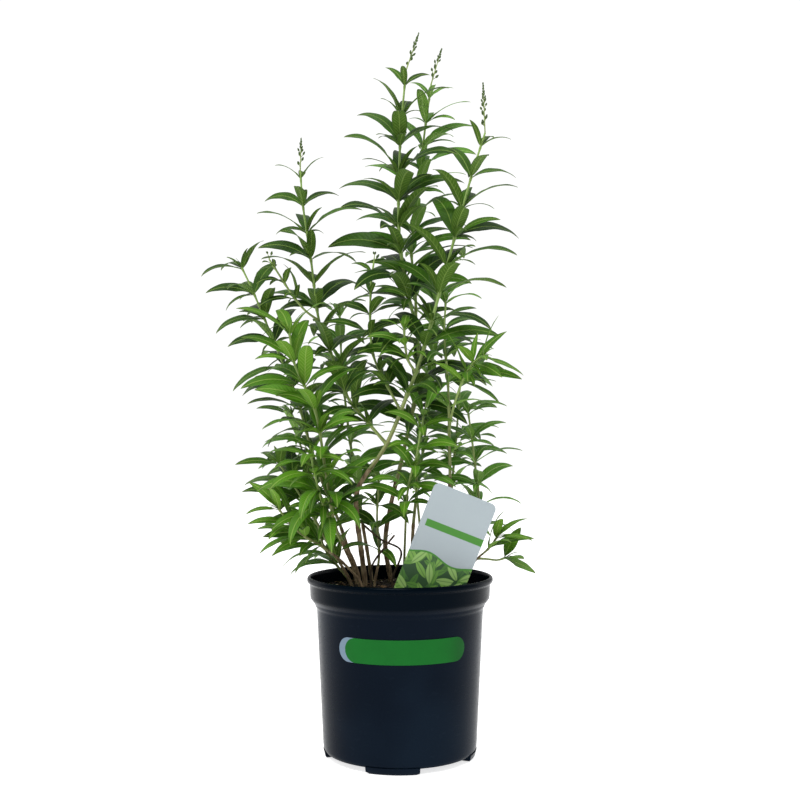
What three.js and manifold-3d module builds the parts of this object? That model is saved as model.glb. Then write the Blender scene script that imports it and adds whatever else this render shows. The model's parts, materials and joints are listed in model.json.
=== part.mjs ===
// Lemon verbena in its nursery pot, in millimetres, +Z up.
// The origin is the middle of the pot's base, on the surface that it stands on.
import * as THREE from "three";
import { mergeVertices } from "three/addons/utils/BufferGeometryUtils.js";
import Module from "manifold-3d";

const wasm = await Module();
wasm.setup();

// ---------------------------------------------------------------- driving dimensions

const CLEARANCE = 0.3; // between pieces that touch
const AROUND = 32; // facets round the pot and the soil

const POT = {
  wall: 1.6,
  footHeight: 6,
  footInner: 61,
  baseRadius: 77.8, // outer edge of the floor and the feet
  bodyLow: { r: 78.8, z: 8.5 }, // above the rounded bottom edge
  bodyTop: { r: 85.5, z: 153.5 },
  bandLow: { r: 92, z: 161.5 }, // the wide band under the rim
  bandTop: { r: 93, z: 176.5 },
  rim: { r: 95.2, z: 177.8, height: 5.2 },
  feet: 4,
  footSpan: 40, // degrees round the base
  firstFoot: -95.5, // degrees, middle of the foot at the front
  hubRadius: 18, // flat middle of the base
  hubSides: 12,
  drainRadius: 5,
  drainSides: 6,
  drainRing: 66,
};

const SOIL = {
  top: 168.5,
  relief: 1.6,
  depth: 38, // how far the canes reach down
  rings: [60, 28], // radii at which the surface can rise and fall
};

const LABEL = {
  width: 66,
  thickness: 0.8,
  corner: 6,
  cardLength: 115.5, // from the top edge to the shoulders
  stakeLength: 30,
  stakeWidth: 16,
  foot: [23.8, -40, 161.7], // middle of the shoulders, just under the soil's surface
  lean: 21.5, // degrees to the right
  edge: 3, // from the card's sides to the outermost samples on it
  shoulder: 4, // height over which the stake widens to the card
};

const BAND = {
  thickness: 0.5,
  middle: 119.5,
  height: 24,
  from: -44.5, // degrees from the front
  to: 48,
  steps: 18,
  endShare: 0.35, // height of each end's straight edge, as a share of the bar's
};

const LEAF = {
  aspect: 0.215, // width over length
  petiole: 0.05, // share of the length before the blade starts
  thickness: 0.8,
  riseDrop: 1.4, // degrees less steep on each whorl further down
  lowestRise: 24,
  youngUnderSpike: [0.46, 0.72, 0.88, 0.95], // size of the youngest whorls, from the top
  young: [0.8, 0.92],
  bend: 58, // degrees that a leaf arches over from base to tip
  facing: 34, // degrees that a leaf to the left or right turns its upper face to the front
  stations: [0.28, 0.64], // shares of the length at which the blade has a section
  upperWhorls: 3, // whorls from the top whose leaves are still held flat
  leastSpread: 0.35, // cosine of the widest angle between a leaf's root and square out from its stem
};

// How far leaves differ from one another: degrees, or shares of a leaf's length.
const VARIED = {
  azimuth: 20,
  rise: 20,
  bendLeast: 0.8,
  bendSpan: 0.4,
  lengthLeast: 0.9,
  lengthSpan: 0.18,
  rollUpper: 30,
  rollLower: 54,
  twist: 36,
  sweep: 0.16,
};

// A twig has six sides. Leaves grow in threes from every other side, and the next whorl's
// leaves grow from the sides between.
const TWIG = { sides: 6, tipRadius: 0.95, nodeHeight: 1.7, step: 32 };

// Whorls stand closer further down: by `less` of the gap on each, to no less than `least` of it.
const CLOSING = { less: 0.03, least: 0.7 };

const BUD = {
  length: 4.4,
  radius: 1.2,
  foot: 1, // height of the stalk that a bud grows from
  gap: 9.5, // between tiers
  spread: 0.7, // outwards and upwards alike
  swell: 0.55, // share of the length at which a bud is widest
};

// The stalk of a spike: the lowest tier's share of its length, and the shares that tiers cover.
const SPIKE = { radius: 0.9, taper: 0.4, lowest: 0.1, reach: 0.84, crowding: 0.9, dwindling: 0.5 };

// Radius kept clear round each sample, and less between leaves of one stem from `ownFrom` outwards.
// Leaves also stay overSoil above the soil, and overRim above the rim out to pastRim beyond it.
const ROOM = {
  leaf: 2.5,
  own: 0.6,
  ownFrom: 0.3,
  twig: 2,
  spike: 4,
  label: 3.5,
  rim: 5,
  overSoil: 7,
  overRim: 12,
  pastRim: 8,
};

// Every stem's route, base first. A stem with no parent rises from the soil, and its lowest
// stretch, woody millimetres long with the part in the soil, is a brown cane. Whorls are
// counted from the top: the first is `inset` below it, the next `gap` lower, and none grows
// on the lowest `bare` millimetres. `leaf` is the length of a full-grown leaf, and `rise` the
// angle in degrees between the topmost leaves and level across the stem. `broad` is how much
// broader than usual its leaves are, if they are, and `bend` how far they arch over, if not as
// far as usual. `base` is the stem's radius at its start. `spike` is the reach of the flower
// spike on its tip, and `tone` the shade of its leaves.
const STEMS = [
  {
    name: "front_left",
    route: [[-42, 18, 169], [-49, 12, 197], [-66, -4, 232], [-75, -24, 290],
      [-84, -40, 350], [-104, -48, 397], [-109, -50, 428]],
    woody: 106, bare: 136, inset: 3, gap: 27, leaf: 71, rise: 60, bend: 54, base: 2.2, tone: "bright",
  },
  {
    name: "front_left_low", parent: "front_left",
    route: [[-59, 2, 219], [-71, -20, 241], [-79, -40, 266], [-84, -54, 290], [-87, -60, 308]],
    bare: 38, inset: 3, gap: 19, leaf: 66, rise: 44, base: 1.5, tone: "bright",
  },
  {
    name: "trunk",
    route: [[-37, 30, 169], [-42, 22, 215], [-45, 15, 243], [-43, 8, 273],
      [-14, 0, 318], [7, -8, 368], [23, -12, 412],
      [47, -15, 497], [71, -18, 585], [86, -20, 633]],
    woody: 168, bare: 250, inset: 15, gap: 33, leaf: 80, rise: 58, base: 2.9,
    spike: [-2, 0, 50], tone: "dark",
  },
  {
    name: "tallest",
    route: [[-10, 60, 169], [-16, 50, 209], [-10, 42, 252], [4, 36, 311],
      [18, 32, 380], [18, 28, 436], [9, 22, 472],
      [-1, 12, 537], [0, 5, 627], [6, 0, 702]],
    woody: 150, bare: 190, inset: 16, gap: 31, leaf: 80, rise: 62, base: 2.7,
    spike: [13, 0, 38], tone: "dark",
  },
  {
    name: "left", parent: "trunk",
    route: [[-14, 0, 318], [-35, 10, 342], [-55, 16, 367], [-70, 20, 406],
      [-85, 22, 447], [-93, 20, 508], [-101, 16, 564],
      [-104, 14, 602]],
    bare: 26, inset: 8, gap: 29, leaf: 75, rise: 56, base: 1.8, spike: [1, 0, 34], tone: "dark",
  },
  {
    name: "centre", parent: "trunk",
    route: [[2, -6, 352], [-8, 0, 368], [-18, 5, 387], [-28, 8, 411],
      [-31, 8, 441], [-30, 4, 483], [-27, 2, 506]],
    bare: 26, inset: 12, gap: 22, leaf: 60, rise: 50, base: 1.4, spike: [1, 0, 9], tone: "dark",
  },
  {
    name: "inner", parent: "trunk",
    route: [[15, -10, 391], [8, -22, 403], [5, -30, 418], [4, -34, 434]],
    bare: 16, inset: 3, gap: 15, leaf: 46, rise: 56, base: 1.3, tone: "bright",
  },
  {
    name: "second", parent: "tallest",
    route: [[18, 29, 430], [17, 37, 452], [16, 43, 487], [12, 45, 525],
      [17, 42, 561], [24, 38, 632], [33, 33, 699]],
    bare: 24, inset: 16, gap: 26, leaf: 72, rise: 58, base: 1.6, spike: [11, 0, 37], tone: "grey",
  },
  {
    name: "right",
    route: [[39, 25, 170], [48, 22, 228], [52, 18, 280], [51, 12, 324],
      [50, 8, 373], [46, 4, 429], [47, 0, 466]],
    woody: 152, bare: 165, inset: 4, gap: 28, leaf: 63, rise: 46, base: 2.2, tone: "grey",
  },
  {
    name: "right_front", parent: "right",
    route: [[51, 11, 330], [54, -5, 353], [62, -28, 380], [72, -46, 398], [81, -58, 405]],
    bare: 60, inset: 2, gap: 14, leaf: 56, rise: 40, bend: 20, base: 1.3, tone: "bright",
  },
  {
    name: "far_left",
    route: [[-46, 38, 168], [-62, 40, 226], [-88, 42, 290], [-110, 42, 365],
      [-132, 38, 421], [-155, 30, 478], [-167, 26, 504]],
    woody: 100, bare: 118, inset: 3, gap: 29, leaf: 66, rise: 50, base: 2.0, tone: "dark",
  },
  {
    name: "left_small", parent: "left",
    route: [[-85, 22, 446], [-99, 12, 457], [-112, 3, 473], [-125, -1, 493], [-134, -3, 507]],
    bare: 22, inset: 9, gap: 20, leaf: 48, rise: 50, base: 1.2, spike: [-2, 0, 7], tone: "dark",
  },
  {
    name: "low_left",
    route: [[-39, 10, 169], [-58, 6, 194], [-80, -6, 213],
      [-99, -18, 226], [-112, -26, 240], [-122, -32, 254]],
    woody: 92, bare: 96, inset: 2, gap: 21, leaf: 54, rise: 62, bend: 40, base: 1.7, tone: "bright",
  },
  {
    name: "label_left",
    route: [[4, 45, 168], [5, 20, 214], [8, -5, 271], [17, -15, 308], [21, -20, 334]],
    woody: 46, bare: 120, inset: 2, gap: 21, leaf: 54, rise: 46, base: 1.5, tone: "bright",
  },
  {
    name: "low_right",
    route: [[54, 16, 168], [66, 10, 184], [80, 3, 200], [91, -4, 211], [99, -9, 223]],
    woody: 88, bare: 94, inset: 2, gap: 14, leaf: 52, broad: 1.1, rise: 66, bend: 36, base: 1.5,
    tone: "bright",
  },
  {
    name: "lowest_right", parent: "low_right",
    route: [[80, 3, 200], [90, 6, 199], [101, 5, 198], [109, 2, 201]],
    bare: 24, inset: 2, gap: 12, leaf: 46, broad: 1.8, rise: 50, bend: 14, base: 1.1, tone: "bright",
  },
  {
    name: "lower_right",
    route: [[66, 35, 168], [76, 36, 216], [83, 34, 258], [80, 32, 290], [76, 30, 322], [72, 28, 350]],
    woody: 85, bare: 90, inset: 2, gap: 26, leaf: 56, rise: 46, base: 1.8, tone: "grey",
  },
  {
    name: "low_back_left",
    route: [[-52, 30, 168], [-66, 32, 188], [-80, 29, 208], [-86, 24, 232]],
    woody: 46, bare: 50, inset: 2, gap: 16, leaf: 58, rise: 40, base: 1.5, tone: "bright",
  },
  {
    name: "lower_left",
    route: [[-50, 20, 168], [-72, 18, 208], [-98, 12, 255], [-125, 4, 298]],
    woody: 66, bare: 72, inset: 2, gap: 24, leaf: 66, rise: 44, bend: 42, base: 1.8, tone: "dark",
  },
  {
    name: "low_centre",
    route: [[-27, 24, 168], [-22, 20, 200], [-24, 14, 240], [-22, 8, 280]],
    woody: 60, bare: 66, inset: 2, gap: 25, leaf: 56, rise: 46, base: 1.6, tone: "dark",
  },
  {
    name: "behind_label",
    route: [[27, 40, 168], [19, 25, 250], [17, 20, 279], [22, 17, 332], [30, 12, 372]],
    woody: 46, bare: 130, inset: 2, gap: 25, leaf: 56, rise: 46, base: 1.6, tone: "grey",
  },
  {
    name: "back",
    route: [[13, 70, 168], [15, 82, 233], [27, 96, 321], [36, 104, 400], [40, 108, 479]],
    woody: 100, bare: 120, inset: 3, gap: 30, leaf: 66, rise: 52, base: 2.2, tone: "grey",
  },
  {
    name: "back_left",
    route: [[-31, 68, 168], [-42, 84, 233], [-56, 98, 321], [-65, 106, 400], [-68, 108, 462]],
    woody: 100, bare: 110, inset: 3, gap: 30, leaf: 64, rise: 50, base: 2.2, tone: "grey",
  },
  {
    name: "back_right",
    route: [[43, 62, 168], [53, 78, 234], [62, 90, 321], [67, 96, 383]],
    woody: 90, bare: 120, inset: 3, gap: 29, leaf: 62, rise: 48, base: 2.0, tone: "grey",
  },
  {
    name: "far_back_left",
    route: [[-44, 48, 168], [-74, 64, 234], [-104, 76, 300], [-119, 80, 350]],
    woody: 80, bare: 100, inset: 3, gap: 28, leaf: 56, rise: 46, base: 1.9, tone: "grey",
  },
];

// Dead twigs, crooked and dark, with `step` between their sections.
const DRY_TWIGS = [
  {
    name: "dry_twig_long",
    route: [[-8, 12, 168], [-7, 11, 181], [1, 9, 207], [-21, 6, 220], [-49, 2, 245]],
    base: 1.2, step: 18,
  },
  {
    name: "dry_twig_short",
    route: [[-30, 6, 168], [-29, 3, 192], [-14, -1, 214], [-6, -2, 224]],
    base: 1.1, step: 20,
  },
];

// ---------------------------------------------------------------- materials

const material = (color, roughness) => new THREE.MeshStandardMaterial({ color, roughness, metalness: 0 });

const MATERIALS = {
  pot: material(0x14181d, 0.42),
  soil: material(0x2b211b, 0.95),
  card: material(0xdfe6ea, 0.45),
  band: material(0x2f8f35, 0.4),
  cane: material(0x8a7152, 0.8),
  dry: material(0x3a2f26, 0.9),
  dark: material(0x3c6a1f, 0.55),
  bright: material(0x5c9427, 0.5),
  grey: material(0x426b3a, 0.55),
  spike: material(0x4d6b2f, 0.7),
};

// ---------------------------------------------------------------- solids and meshes

const v = (p) => new THREE.Vector3(...p);

// A closed body under construction: its points, and the faces that join rings of them. A ring
// runs anticlockwise round the way ahead, and may be a single point.
class Skin {
  positions = [];
  faces = [];

  add(points) {
    const first = this.positions.length / 3;
    for (const { x, y, z } of points) this.positions.push(x, y, z);
    return points.map((_, i) => first + i);
  }

  // The second half of the sides is split the other way from the first, so that both faces of
  // a thin blade are split alike.
  join(a, b, open = []) {
    const count = Math.max(a.length, b.length);
    for (let j = 0; j < count; j += 1) {
      const next = (j + 1) % count;
      if (open.includes(j)) continue;
      if (b.length === 1) this.faces.push(a[j], a[next], b[0]);
      else if (a.length === 1) this.faces.push(a[0], b[next], b[j]);
      else if (j < count / 2) this.faces.push(a[j], a[next], b[next], a[j], b[next], b[j]);
      else this.faces.push(a[j], a[next], b[j], a[next], b[next], b[j]);
    }
  }

  close(first, last) {
    for (let j = 1; j + 1 < first.length; j += 1) this.faces.push(first[0], first[j + 1], first[j]);
    for (let j = 1; j + 1 < last.length; j += 1) this.faces.push(last[0], last[j], last[j + 1]);
  }

  geometry() {
    const geometry = new THREE.BufferGeometry();
    geometry.setAttribute("position", new THREE.Float32BufferAttribute(this.positions, 3));
    geometry.setIndex(this.faces);
    return geometry;
  }
}

// How far to shift a section's corners round, so that they lie nearest to those of another.
function leastTwist(from, to) {
  const apart = to.map((_, shift) => from.reduce(
    (sum, corner, j) => sum + corner.distanceToSquared(to[(j + shift) % to.length]),
    0,
  ));
  return apart.indexOf(Math.min(...apart));
}

// A body through rings in turn. Where `limbs` lists any for the stretch after a ring, each one
// grows out of a side of that stretch, through sections of its own.
function stalk(rings, limbs = []) {
  const skin = new Skin();
  const loops = rings.map((points) => skin.add(points));
  for (let i = 0; i + 1 < loops.length; i += 1) {
    const [lower, upper] = [loops[i], loops[i + 1]];
    const grown = limbs[i] ?? [];
    skin.join(lower, upper, grown.map((limb) => limb.side));
    for (const { side, sections } of grown) {
      const next = (side + 1) % lower.length;
      const face = [rings[i][side], rings[i][next], rings[i + 1][next], rings[i + 1][side]];
      const shift = leastTwist(face, sections[0]);
      let loop = [lower[side], lower[next], upper[next], upper[side]];
      for (const section of sections) {
        const ahead = skin.add(section.map((_, j) => section[(j + shift) % section.length]));
        skin.join(loop, ahead);
        loop = ahead;
      }
    }
  }
  skin.close(loops[0], loops[loops.length - 1]);
  return solid(skin.geometry());
}

// A three.js geometry as a solid: shared vertices merged, and the flat triangles at a pole left out.
function solid(geometry) {
  const bare = geometry.clone();
  bare.deleteAttribute("normal");
  bare.deleteAttribute("uv");
  const merged = mergeVertices(bare, 1e-4);
  const index = merged.index.array;
  const faces = [];
  for (let i = 0; i < index.length; i += 3) {
    const [a, b, c] = [index[i], index[i + 1], index[i + 2]];
    if (a !== b && b !== c && c !== a) faces.push(a, b, c);
  }
  return new wasm.Manifold(new wasm.Mesh({
    numProp: 3,
    vertProperties: new Float32Array(merged.attributes.position.array),
    triVerts: new Uint32Array(faces),
  }));
}

function meshOf(name, body, look) {
  const { vertProperties, triVerts } = body.getMesh();
  const geometry = new THREE.BufferGeometry();
  geometry.setAttribute("position", new THREE.Float32BufferAttribute(vertProperties, 3));
  geometry.setIndex([...triVerts]);
  geometry.computeVertexNormals();
  const mesh = new THREE.Mesh(geometry, look);
  mesh.name = name;
  return mesh;
}

// A body of revolution round Z, from a profile of [radius, height] points.
function turned(profile) {
  const points = profile.map(([r, z]) => new THREE.Vector2(r, z));
  return new THREE.LatheGeometry(points, AROUND).rotateX(Math.PI / 2);
}

const radians = THREE.MathUtils.degToRad;

// ---------------------------------------------------------------- pot

function potOuter(z) {
  const { bodyLow, bodyTop } = POT;
  return bodyLow.r + ((bodyTop.r - bodyLow.r) * (z - bodyLow.z)) / (bodyTop.z - bodyLow.z);
}

function potShell() {
  const { wall, footHeight, baseRadius, bodyLow, bodyTop, bandLow, bandTop, rim } = POT;
  const rimTop = rim.z + rim.height;
  return solid(turned([
    [0, footHeight],
    [baseRadius, footHeight],
    [bodyLow.r, bodyLow.z],
    [bodyTop.r, bodyTop.z],
    [bandLow.r, bandLow.z],
    [bandTop.r, bandTop.z],
    [rim.r, rim.z],
    [rim.r, rimTop - wall],
    [rim.r - wall, rimTop],
    [bandTop.r - wall, rimTop - wall],
    [bandLow.r - wall, bandLow.z + wall / 2],
    [bodyTop.r - wall, bodyTop.z + wall / 2],
    [bodyLow.r - wall, bodyLow.z + wall / 2],
    [baseRadius - wall, footHeight + wall],
    [0, footHeight + wall],
  ]));
}

// A low pad under the edge of the floor, reaching a little way into it.
function foot(middle) {
  const { footInner, baseRadius, footSpan, footHeight, wall } = POT;
  const [from, to] = [radians(middle - footSpan / 2), radians(middle + footSpan / 2)];
  const outline = new THREE.Shape();
  outline.absarc(0, 0, baseRadius - wall / 2, from, to, false);
  outline.absarc(0, 0, footInner, to, from, true);
  const depth = footHeight + wall / 2;
  return new THREE.ExtrudeGeometry(outline, { depth, bevelEnabled: false, curveSegments: 3 });
}

function upright(radius, height, sides) {
  const geometry = new THREE.CylinderGeometry(radius, radius, height, sides).rotateX(Math.PI / 2);
  return geometry.translate(0, 0, height / 2);
}

function nurseryPot() {
  const { feet, firstFoot, hubRadius, hubSides, footHeight, wall, drainRadius, drainSides, drainRing } = POT;
  let pot = potShell().add(solid(upright(hubRadius, footHeight + wall / 2, hubSides)));
  for (let k = 0; k < feet; k += 1) {
    const middle = firstFoot + (360 / feet) * k;
    pot = pot.add(solid(foot(middle)));
    const drainAt = radians(middle + 180 / feet);
    const drain = upright(drainRadius, footHeight + 3 * wall, drainSides);
    drain.translate(drainRing * Math.cos(drainAt), drainRing * Math.sin(drainAt), 0);
    pot = pot.subtract(solid(drain));
  }
  return meshOf("nursery_pot", pot, MATERIALS.pot);
}

// The label round the front of the pot: a bar with round ends, its inner face just off the wall.
function bandLabel() {
  const { thickness, middle, height, from, to, steps, endShare } = BAND;
  const endSpan = THREE.MathUtils.radToDeg(height / 2 / potOuter(middle));
  const sections = [];
  for (let i = 0; i <= steps; i += 1) {
    const angle = from + (to - from) * (i / steps);
    const fromEnd = Math.min(angle - from, to - angle);
    const inset = Math.max(0, 1 - fromEnd / endSpan);
    const half = (height / 2) * Math.max(endShare, Math.sqrt(1 - inset * inset));
    sections.push(bandSection(radians(angle - 90), middle - half, middle + half, thickness));
  }
  return meshOf("band_label", stalk(sections), MATERIALS.band);
}

function bandSection(angle, low, high, thickness) {
  const at = (z, out) => {
    const r = potOuter(z) + CLEARANCE + out;
    return new THREE.Vector3(r * Math.cos(angle), r * Math.sin(angle), z);
  };
  return [at(low, 0), at(high, 0), at(high, thickness), at(low, thickness)];
}

// ---------------------------------------------------------------- plant label

function cardOutline() {
  const { width, corner, cardLength, stakeLength, stakeWidth, shoulder } = LABEL;
  const [side, stake] = [width / 2, stakeWidth / 2];
  const outline = new THREE.Shape();
  outline.moveTo(0, -stakeLength);
  outline.lineTo(stake, -stakeLength + stake);
  outline.lineTo(stake, -shoulder);
  outline.lineTo(side, 0);
  outline.lineTo(side, cardLength - corner);
  outline.absarc(side - corner, cardLength - corner, corner, 0, Math.PI / 2, false);
  outline.absarc(corner - side, cardLength - corner, corner, Math.PI / 2, Math.PI, false);
  outline.lineTo(-side, 0);
  outline.lineTo(-stake, -shoulder);
  outline.lineTo(-stake, -stakeLength + stake);
  return outline;
}

// The card and its stake, grown all round for the slot that they stand in.
function card(grown) {
  const depth = LABEL.thickness + 2 * grown;
  const geometry = new THREE.ExtrudeGeometry(cardOutline(), { depth, bevelEnabled: false, curveSegments: 4 });
  geometry.translate(0, 0, -depth / 2);
  geometry.scale(1 + (2 * grown) / LABEL.stakeWidth, 1 + grown / LABEL.stakeLength, 1);
  geometry.rotateX(Math.PI / 2);
  geometry.rotateY(radians(LABEL.lean));
  return geometry.translate(...LABEL.foot);
}

// ---------------------------------------------------------------- stems

// Points on a smooth curve through the route, with the length run so far at each.
function chainOf(route) {
  const steps = 12;
  const point = (i) => v(route[i]);
  const ends = [
    point(0).multiplyScalar(2).sub(point(1)),
    point(route.length - 1).multiplyScalar(2).sub(point(route.length - 2)),
  ];
  const all = [ends[0], ...route.map(v), ends[1]];
  const points = [];
  for (let i = 1; i + 2 < all.length; i += 1) {
    for (let k = 0; k < steps; k += 1) points.push(between(all.slice(i - 1, i + 3), k / steps));
  }
  points.push(point(route.length - 1));
  const lengths = [0];
  for (let i = 1; i < points.length; i += 1) {
    lengths.push(lengths[i - 1] + points[i].distanceTo(points[i - 1]));
  }
  return { points, lengths, total: lengths[lengths.length - 1] };
}

// The Catmull-Rom curve from the second of four points to the third.
function between([p0, p1, p2, p3], t) {
  const at = (a, b, c, d) => 0.5 * (2 * b + (c - a) * t + (2 * a - 5 * b + 4 * c - d) * t * t
    + (3 * b - a - 3 * c + d) * t * t * t);
  const onAxis = (axis) => at(p0[axis], p1[axis], p2[axis], p3[axis]);
  return new THREE.Vector3(onAxis("x"), onAxis("y"), onAxis("z"));
}

// The place and the way ahead at a length along a chain.
function along(chain, length) {
  let i = 1;
  while (i + 1 < chain.lengths.length && chain.lengths[i] < length) i += 1;
  const [a, b] = [chain.points[i - 1], chain.points[i]];
  const share = (length - chain.lengths[i - 1]) / (chain.lengths[i] - chain.lengths[i - 1]);
  return { place: a.clone().lerp(b, share), ahead: b.clone().sub(a).normalize() };
}

function stemRadius(stem, length) {
  return stem.base + (TWIG.tipRadius - stem.base) * (length / stem.chain.total);
}

// The two directions square to the way ahead: across, near +X on an upright stem, and beyond, near +Y.
function squareTo(ahead) {
  const across = new THREE.Vector3(0, 1, 0).cross(ahead).normalize();
  return { across, beyond: ahead.clone().cross(across) };
}

function pointed(ahead, angle) {
  const { across, beyond } = squareTo(ahead);
  return across.multiplyScalar(Math.cos(angle)).addScaledVector(beyond, Math.sin(angle));
}

// A ring square to the way ahead, anticlockwise round it.
function ring(place, ahead, radius) {
  return Array.from({ length: TWIG.sides }, (_, j) => (
    place.clone().addScaledVector(pointed(ahead, (2 * Math.PI * j) / TWIG.sides), radius)
  ));
}

function stemRing(stem, length, grown = 0) {
  const { place, ahead } = along(stem.chain, length);
  return ring(place, ahead, stemRadius(stem, length) + grown);
}

// Lengths after one and up to another, at even steps.
function evenly(from, to, step = TWIG.step) {
  const count = Math.max(1, Math.round((to - from) / step));
  return Array.from({ length: count }, (_, i) => from + ((to - from) * (i + 1)) / count);
}

// The bare tube of a stem between two lengths along it.
function tube(stem, from, to, grown = 0) {
  return stalk([from, ...evenly(from, to, stem.step)].map((s) => stemRing(stem, s, grown)));
}

// Lengths along the stem at which whorls grow, from the top down.
function whorlLengths(stem) {
  const lengths = [];
  let at = stem.chain.total - stem.inset;
  for (let k = 0; at > stem.bare; k += 1) {
    lengths.push(at);
    at -= stem.gap * Math.max(CLOSING.least, 1 - CLOSING.less * k);
  }
  return lengths;
}

// The place on a stem's curve that lies nearest to a point, as [x, y, z].
function nearestOn(stem, place) {
  const target = v(place);
  const apart = stem.chain.points.map((point) => point.distanceTo(target));
  return stem.chain.points[apart.indexOf(Math.min(...apart))].toArray();
}

// A stem's curve and whorls. A branch starts on its parent's curve, any other stem in the soil.
// A dead twig has no whorls, and all of it is wood.
function prepare(stem, parent) {
  const [first, ...rest] = stem.route;
  const [x, y, z] = first;
  const inSoil = [x, y, z - SOIL.depth];
  stem.chain = chainOf(parent ? [nearestOn(parent, first), ...rest] : [inSoil, ...stem.route]);
  stem.whorls = stem.gap ? whorlLengths(stem) : [];
  if (!stem.gap) stem.woody = stem.chain.total;
}

// ---------------------------------------------------------------- leaves

// A repeatable run of numbers from 0 to 1.
function drawer(seed) {
  let state = seed;
  return () => {
    state = (state * 1664525 + 1013904223) % 4294967296;
    return state / 4294967296;
  };
}

// A leaf as grown: where it starts, its heading round Z, how steeply it leaves and how it arches.
// The draws are taken in this order.
function grow(stem, number, whorl, index, draw) {
  const either = (span) => span * (draw() - 0.5);
  const { place, ahead } = along(stem.chain, stem.whorls[whorl]);
  const side = (1 + whorl + number + 2 * index) % TWIG.sides;
  const azimuth = radians((360 / TWIG.sides) * (side + 0.5) + either(VARIED.azimuth));
  const young = (stem.spike ? LEAF.youngUnderSpike : LEAF.young)[whorl] ?? 1;
  const held = Math.max(LEAF.lowestRise, stem.rise - LEAF.riseDrop * whorl);
  const rise = radians(held + either(VARIED.rise));
  const start = pointed(ahead, azimuth).multiplyScalar(Math.cos(rise)).addScaledVector(ahead, Math.sin(rise));
  const heading = Math.atan2(start.y, start.x);
  const turnedForward = -LEAF.facing * Math.cos(heading);
  return {
    place,
    whorl,
    side,
    outwards: pointed(ahead, radians((360 / TWIG.sides) * (side + 0.5))),
    heading,
    steep: Math.asin(start.z),
    bend: radians(((stem.bend ?? LEAF.bend) + whorl) * (VARIED.bendLeast + VARIED.bendSpan * draw())),
    length: stem.leaf * young * (VARIED.lengthLeast + VARIED.lengthSpan * draw()),
    aspect: LEAF.aspect * (stem.broad ?? 1),
    roll: radians(either(whorl < LEAF.upperWhorls ? VARIED.rollUpper : VARIED.rollLower) + turnedForward),
    twist: radians(either(VARIED.twist)),
    sweep: either(VARIED.sweep),
  };
}

// The leaf's middle line at a share of its length, with its side and its upper face there.
function leafFrame(leaf, share) {
  const { heading, steep, bend, length, roll, twist, sweep } = leaf;
  const now = steep - bend * share;
  const out = ((Math.sin(steep) - Math.sin(now)) / bend) * length;
  const up = ((Math.cos(now) - Math.cos(steep)) / bend) * length;
  const [cos, sin] = [Math.cos(heading), Math.sin(heading)];
  const flatSide = new THREE.Vector3(sin, -cos, 0);
  const flatTop = new THREE.Vector3(-Math.sin(now) * cos, -Math.sin(now) * sin, Math.cos(now));
  const turn = roll * Math.min(1, share * 3) + twist * share;
  const place = leaf.place.clone().add(new THREE.Vector3(cos * out, sin * out, up));
  place.addScaledVector(flatSide, sweep * length * share * share);
  return {
    place,
    side: flatSide.clone().multiplyScalar(Math.cos(turn)).addScaledVector(flatTop, Math.sin(turn)),
    top: flatTop.clone().multiplyScalar(Math.cos(turn)).addScaledVector(flatSide, -Math.sin(turn)),
  };
}

// Half the blade's width: widest a little before the middle, where `shape` is 1, and pointed.
function halfWidth(leaf, share) {
  const blade = Math.max(0, (share - LEAF.petiole) / (1 - LEAF.petiole));
  const shape = 2.72 * Math.pow(blade, 0.62) * Math.pow(1 - blade, 0.85);
  return (leaf.length * leaf.aspect * shape) / 2;
}

// The blade's sections, from the side of the stem out to the tip.
function leafSections(leaf) {
  const sections = LEAF.stations.map((share) => {
    const { place, side, top } = leafFrame(leaf, share);
    const corner = (way, up) => place.clone()
      .addScaledVector(side, way * halfWidth(leaf, share))
      .addScaledVector(top, (up * LEAF.thickness) / 2);
    return [corner(1, -1), corner(-1, -1), corner(-1, 1), corner(1, 1)];
  });
  return [...sections, [leafFrame(leaf, 1).place]];
}

// Points on both edges and the middle line, by which a leaf keeps clear of its neighbours.
function leafSamples(leaf) {
  const points = [];
  for (let k = 1; k <= SAMPLES.steps; k += 1) {
    const share = k / SAMPLES.steps;
    const { place, side } = leafFrame(leaf, share);
    const half = halfWidth(leaf, share);
    for (const way of [-1, 0, 1]) {
      points.push({ share, point: place.clone().addScaledVector(side, way * half) });
    }
  }
  return points;
}

// ---------------------------------------------------------------- keeping clear

// Steps along a leaf, the sample near its middle, and how far from that sample any other of its
// samples can be from something that it would touch.
const SAMPLES = { steps: 12, middle: 16, farthest: 60, rimStep: 5, cardStep: 6, stemStep: 4 };

const taken = []; // { owner, point, room }

function claimHardThings() {
  const rimRadius = POT.rim.r - POT.wall;
  const rimMiddle = POT.rim.z + POT.rim.height / 2;
  for (let a = 0; a < 2 * Math.PI; a += radians(SAMPLES.rimStep)) {
    const point = new THREE.Vector3(rimRadius * Math.cos(a), rimRadius * Math.sin(a), rimMiddle);
    taken.push({ owner: "pot", point, room: ROOM.rim });
  }
  const lean = radians(LABEL.lean);
  const edge = LABEL.width / 2 - LABEL.edge;
  for (let up = 0; up <= LABEL.cardLength; up += SAMPLES.cardStep) {
    for (let across = -edge; across <= edge; across += SAMPLES.cardStep) {
      const x = LABEL.foot[0] + up * Math.sin(lean) + across * Math.cos(lean);
      const z = LABEL.foot[2] + up * Math.cos(lean) - across * Math.sin(lean);
      taken.push({ owner: "label", point: new THREE.Vector3(x, LABEL.foot[1], z), room: ROOM.label });
    }
  }
}

function claimStem(stem) {
  for (let s = stem.parent ? 0 : SOIL.depth; s < stem.chain.total; s += SAMPLES.stemStep) {
    const room = stemRadius(stem, s) + ROOM.twig;
    taken.push({ owner: stem.name, point: along(stem.chain, s).place, room });
  }
  if (stem.spike) claimSpike(stem);
}

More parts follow.
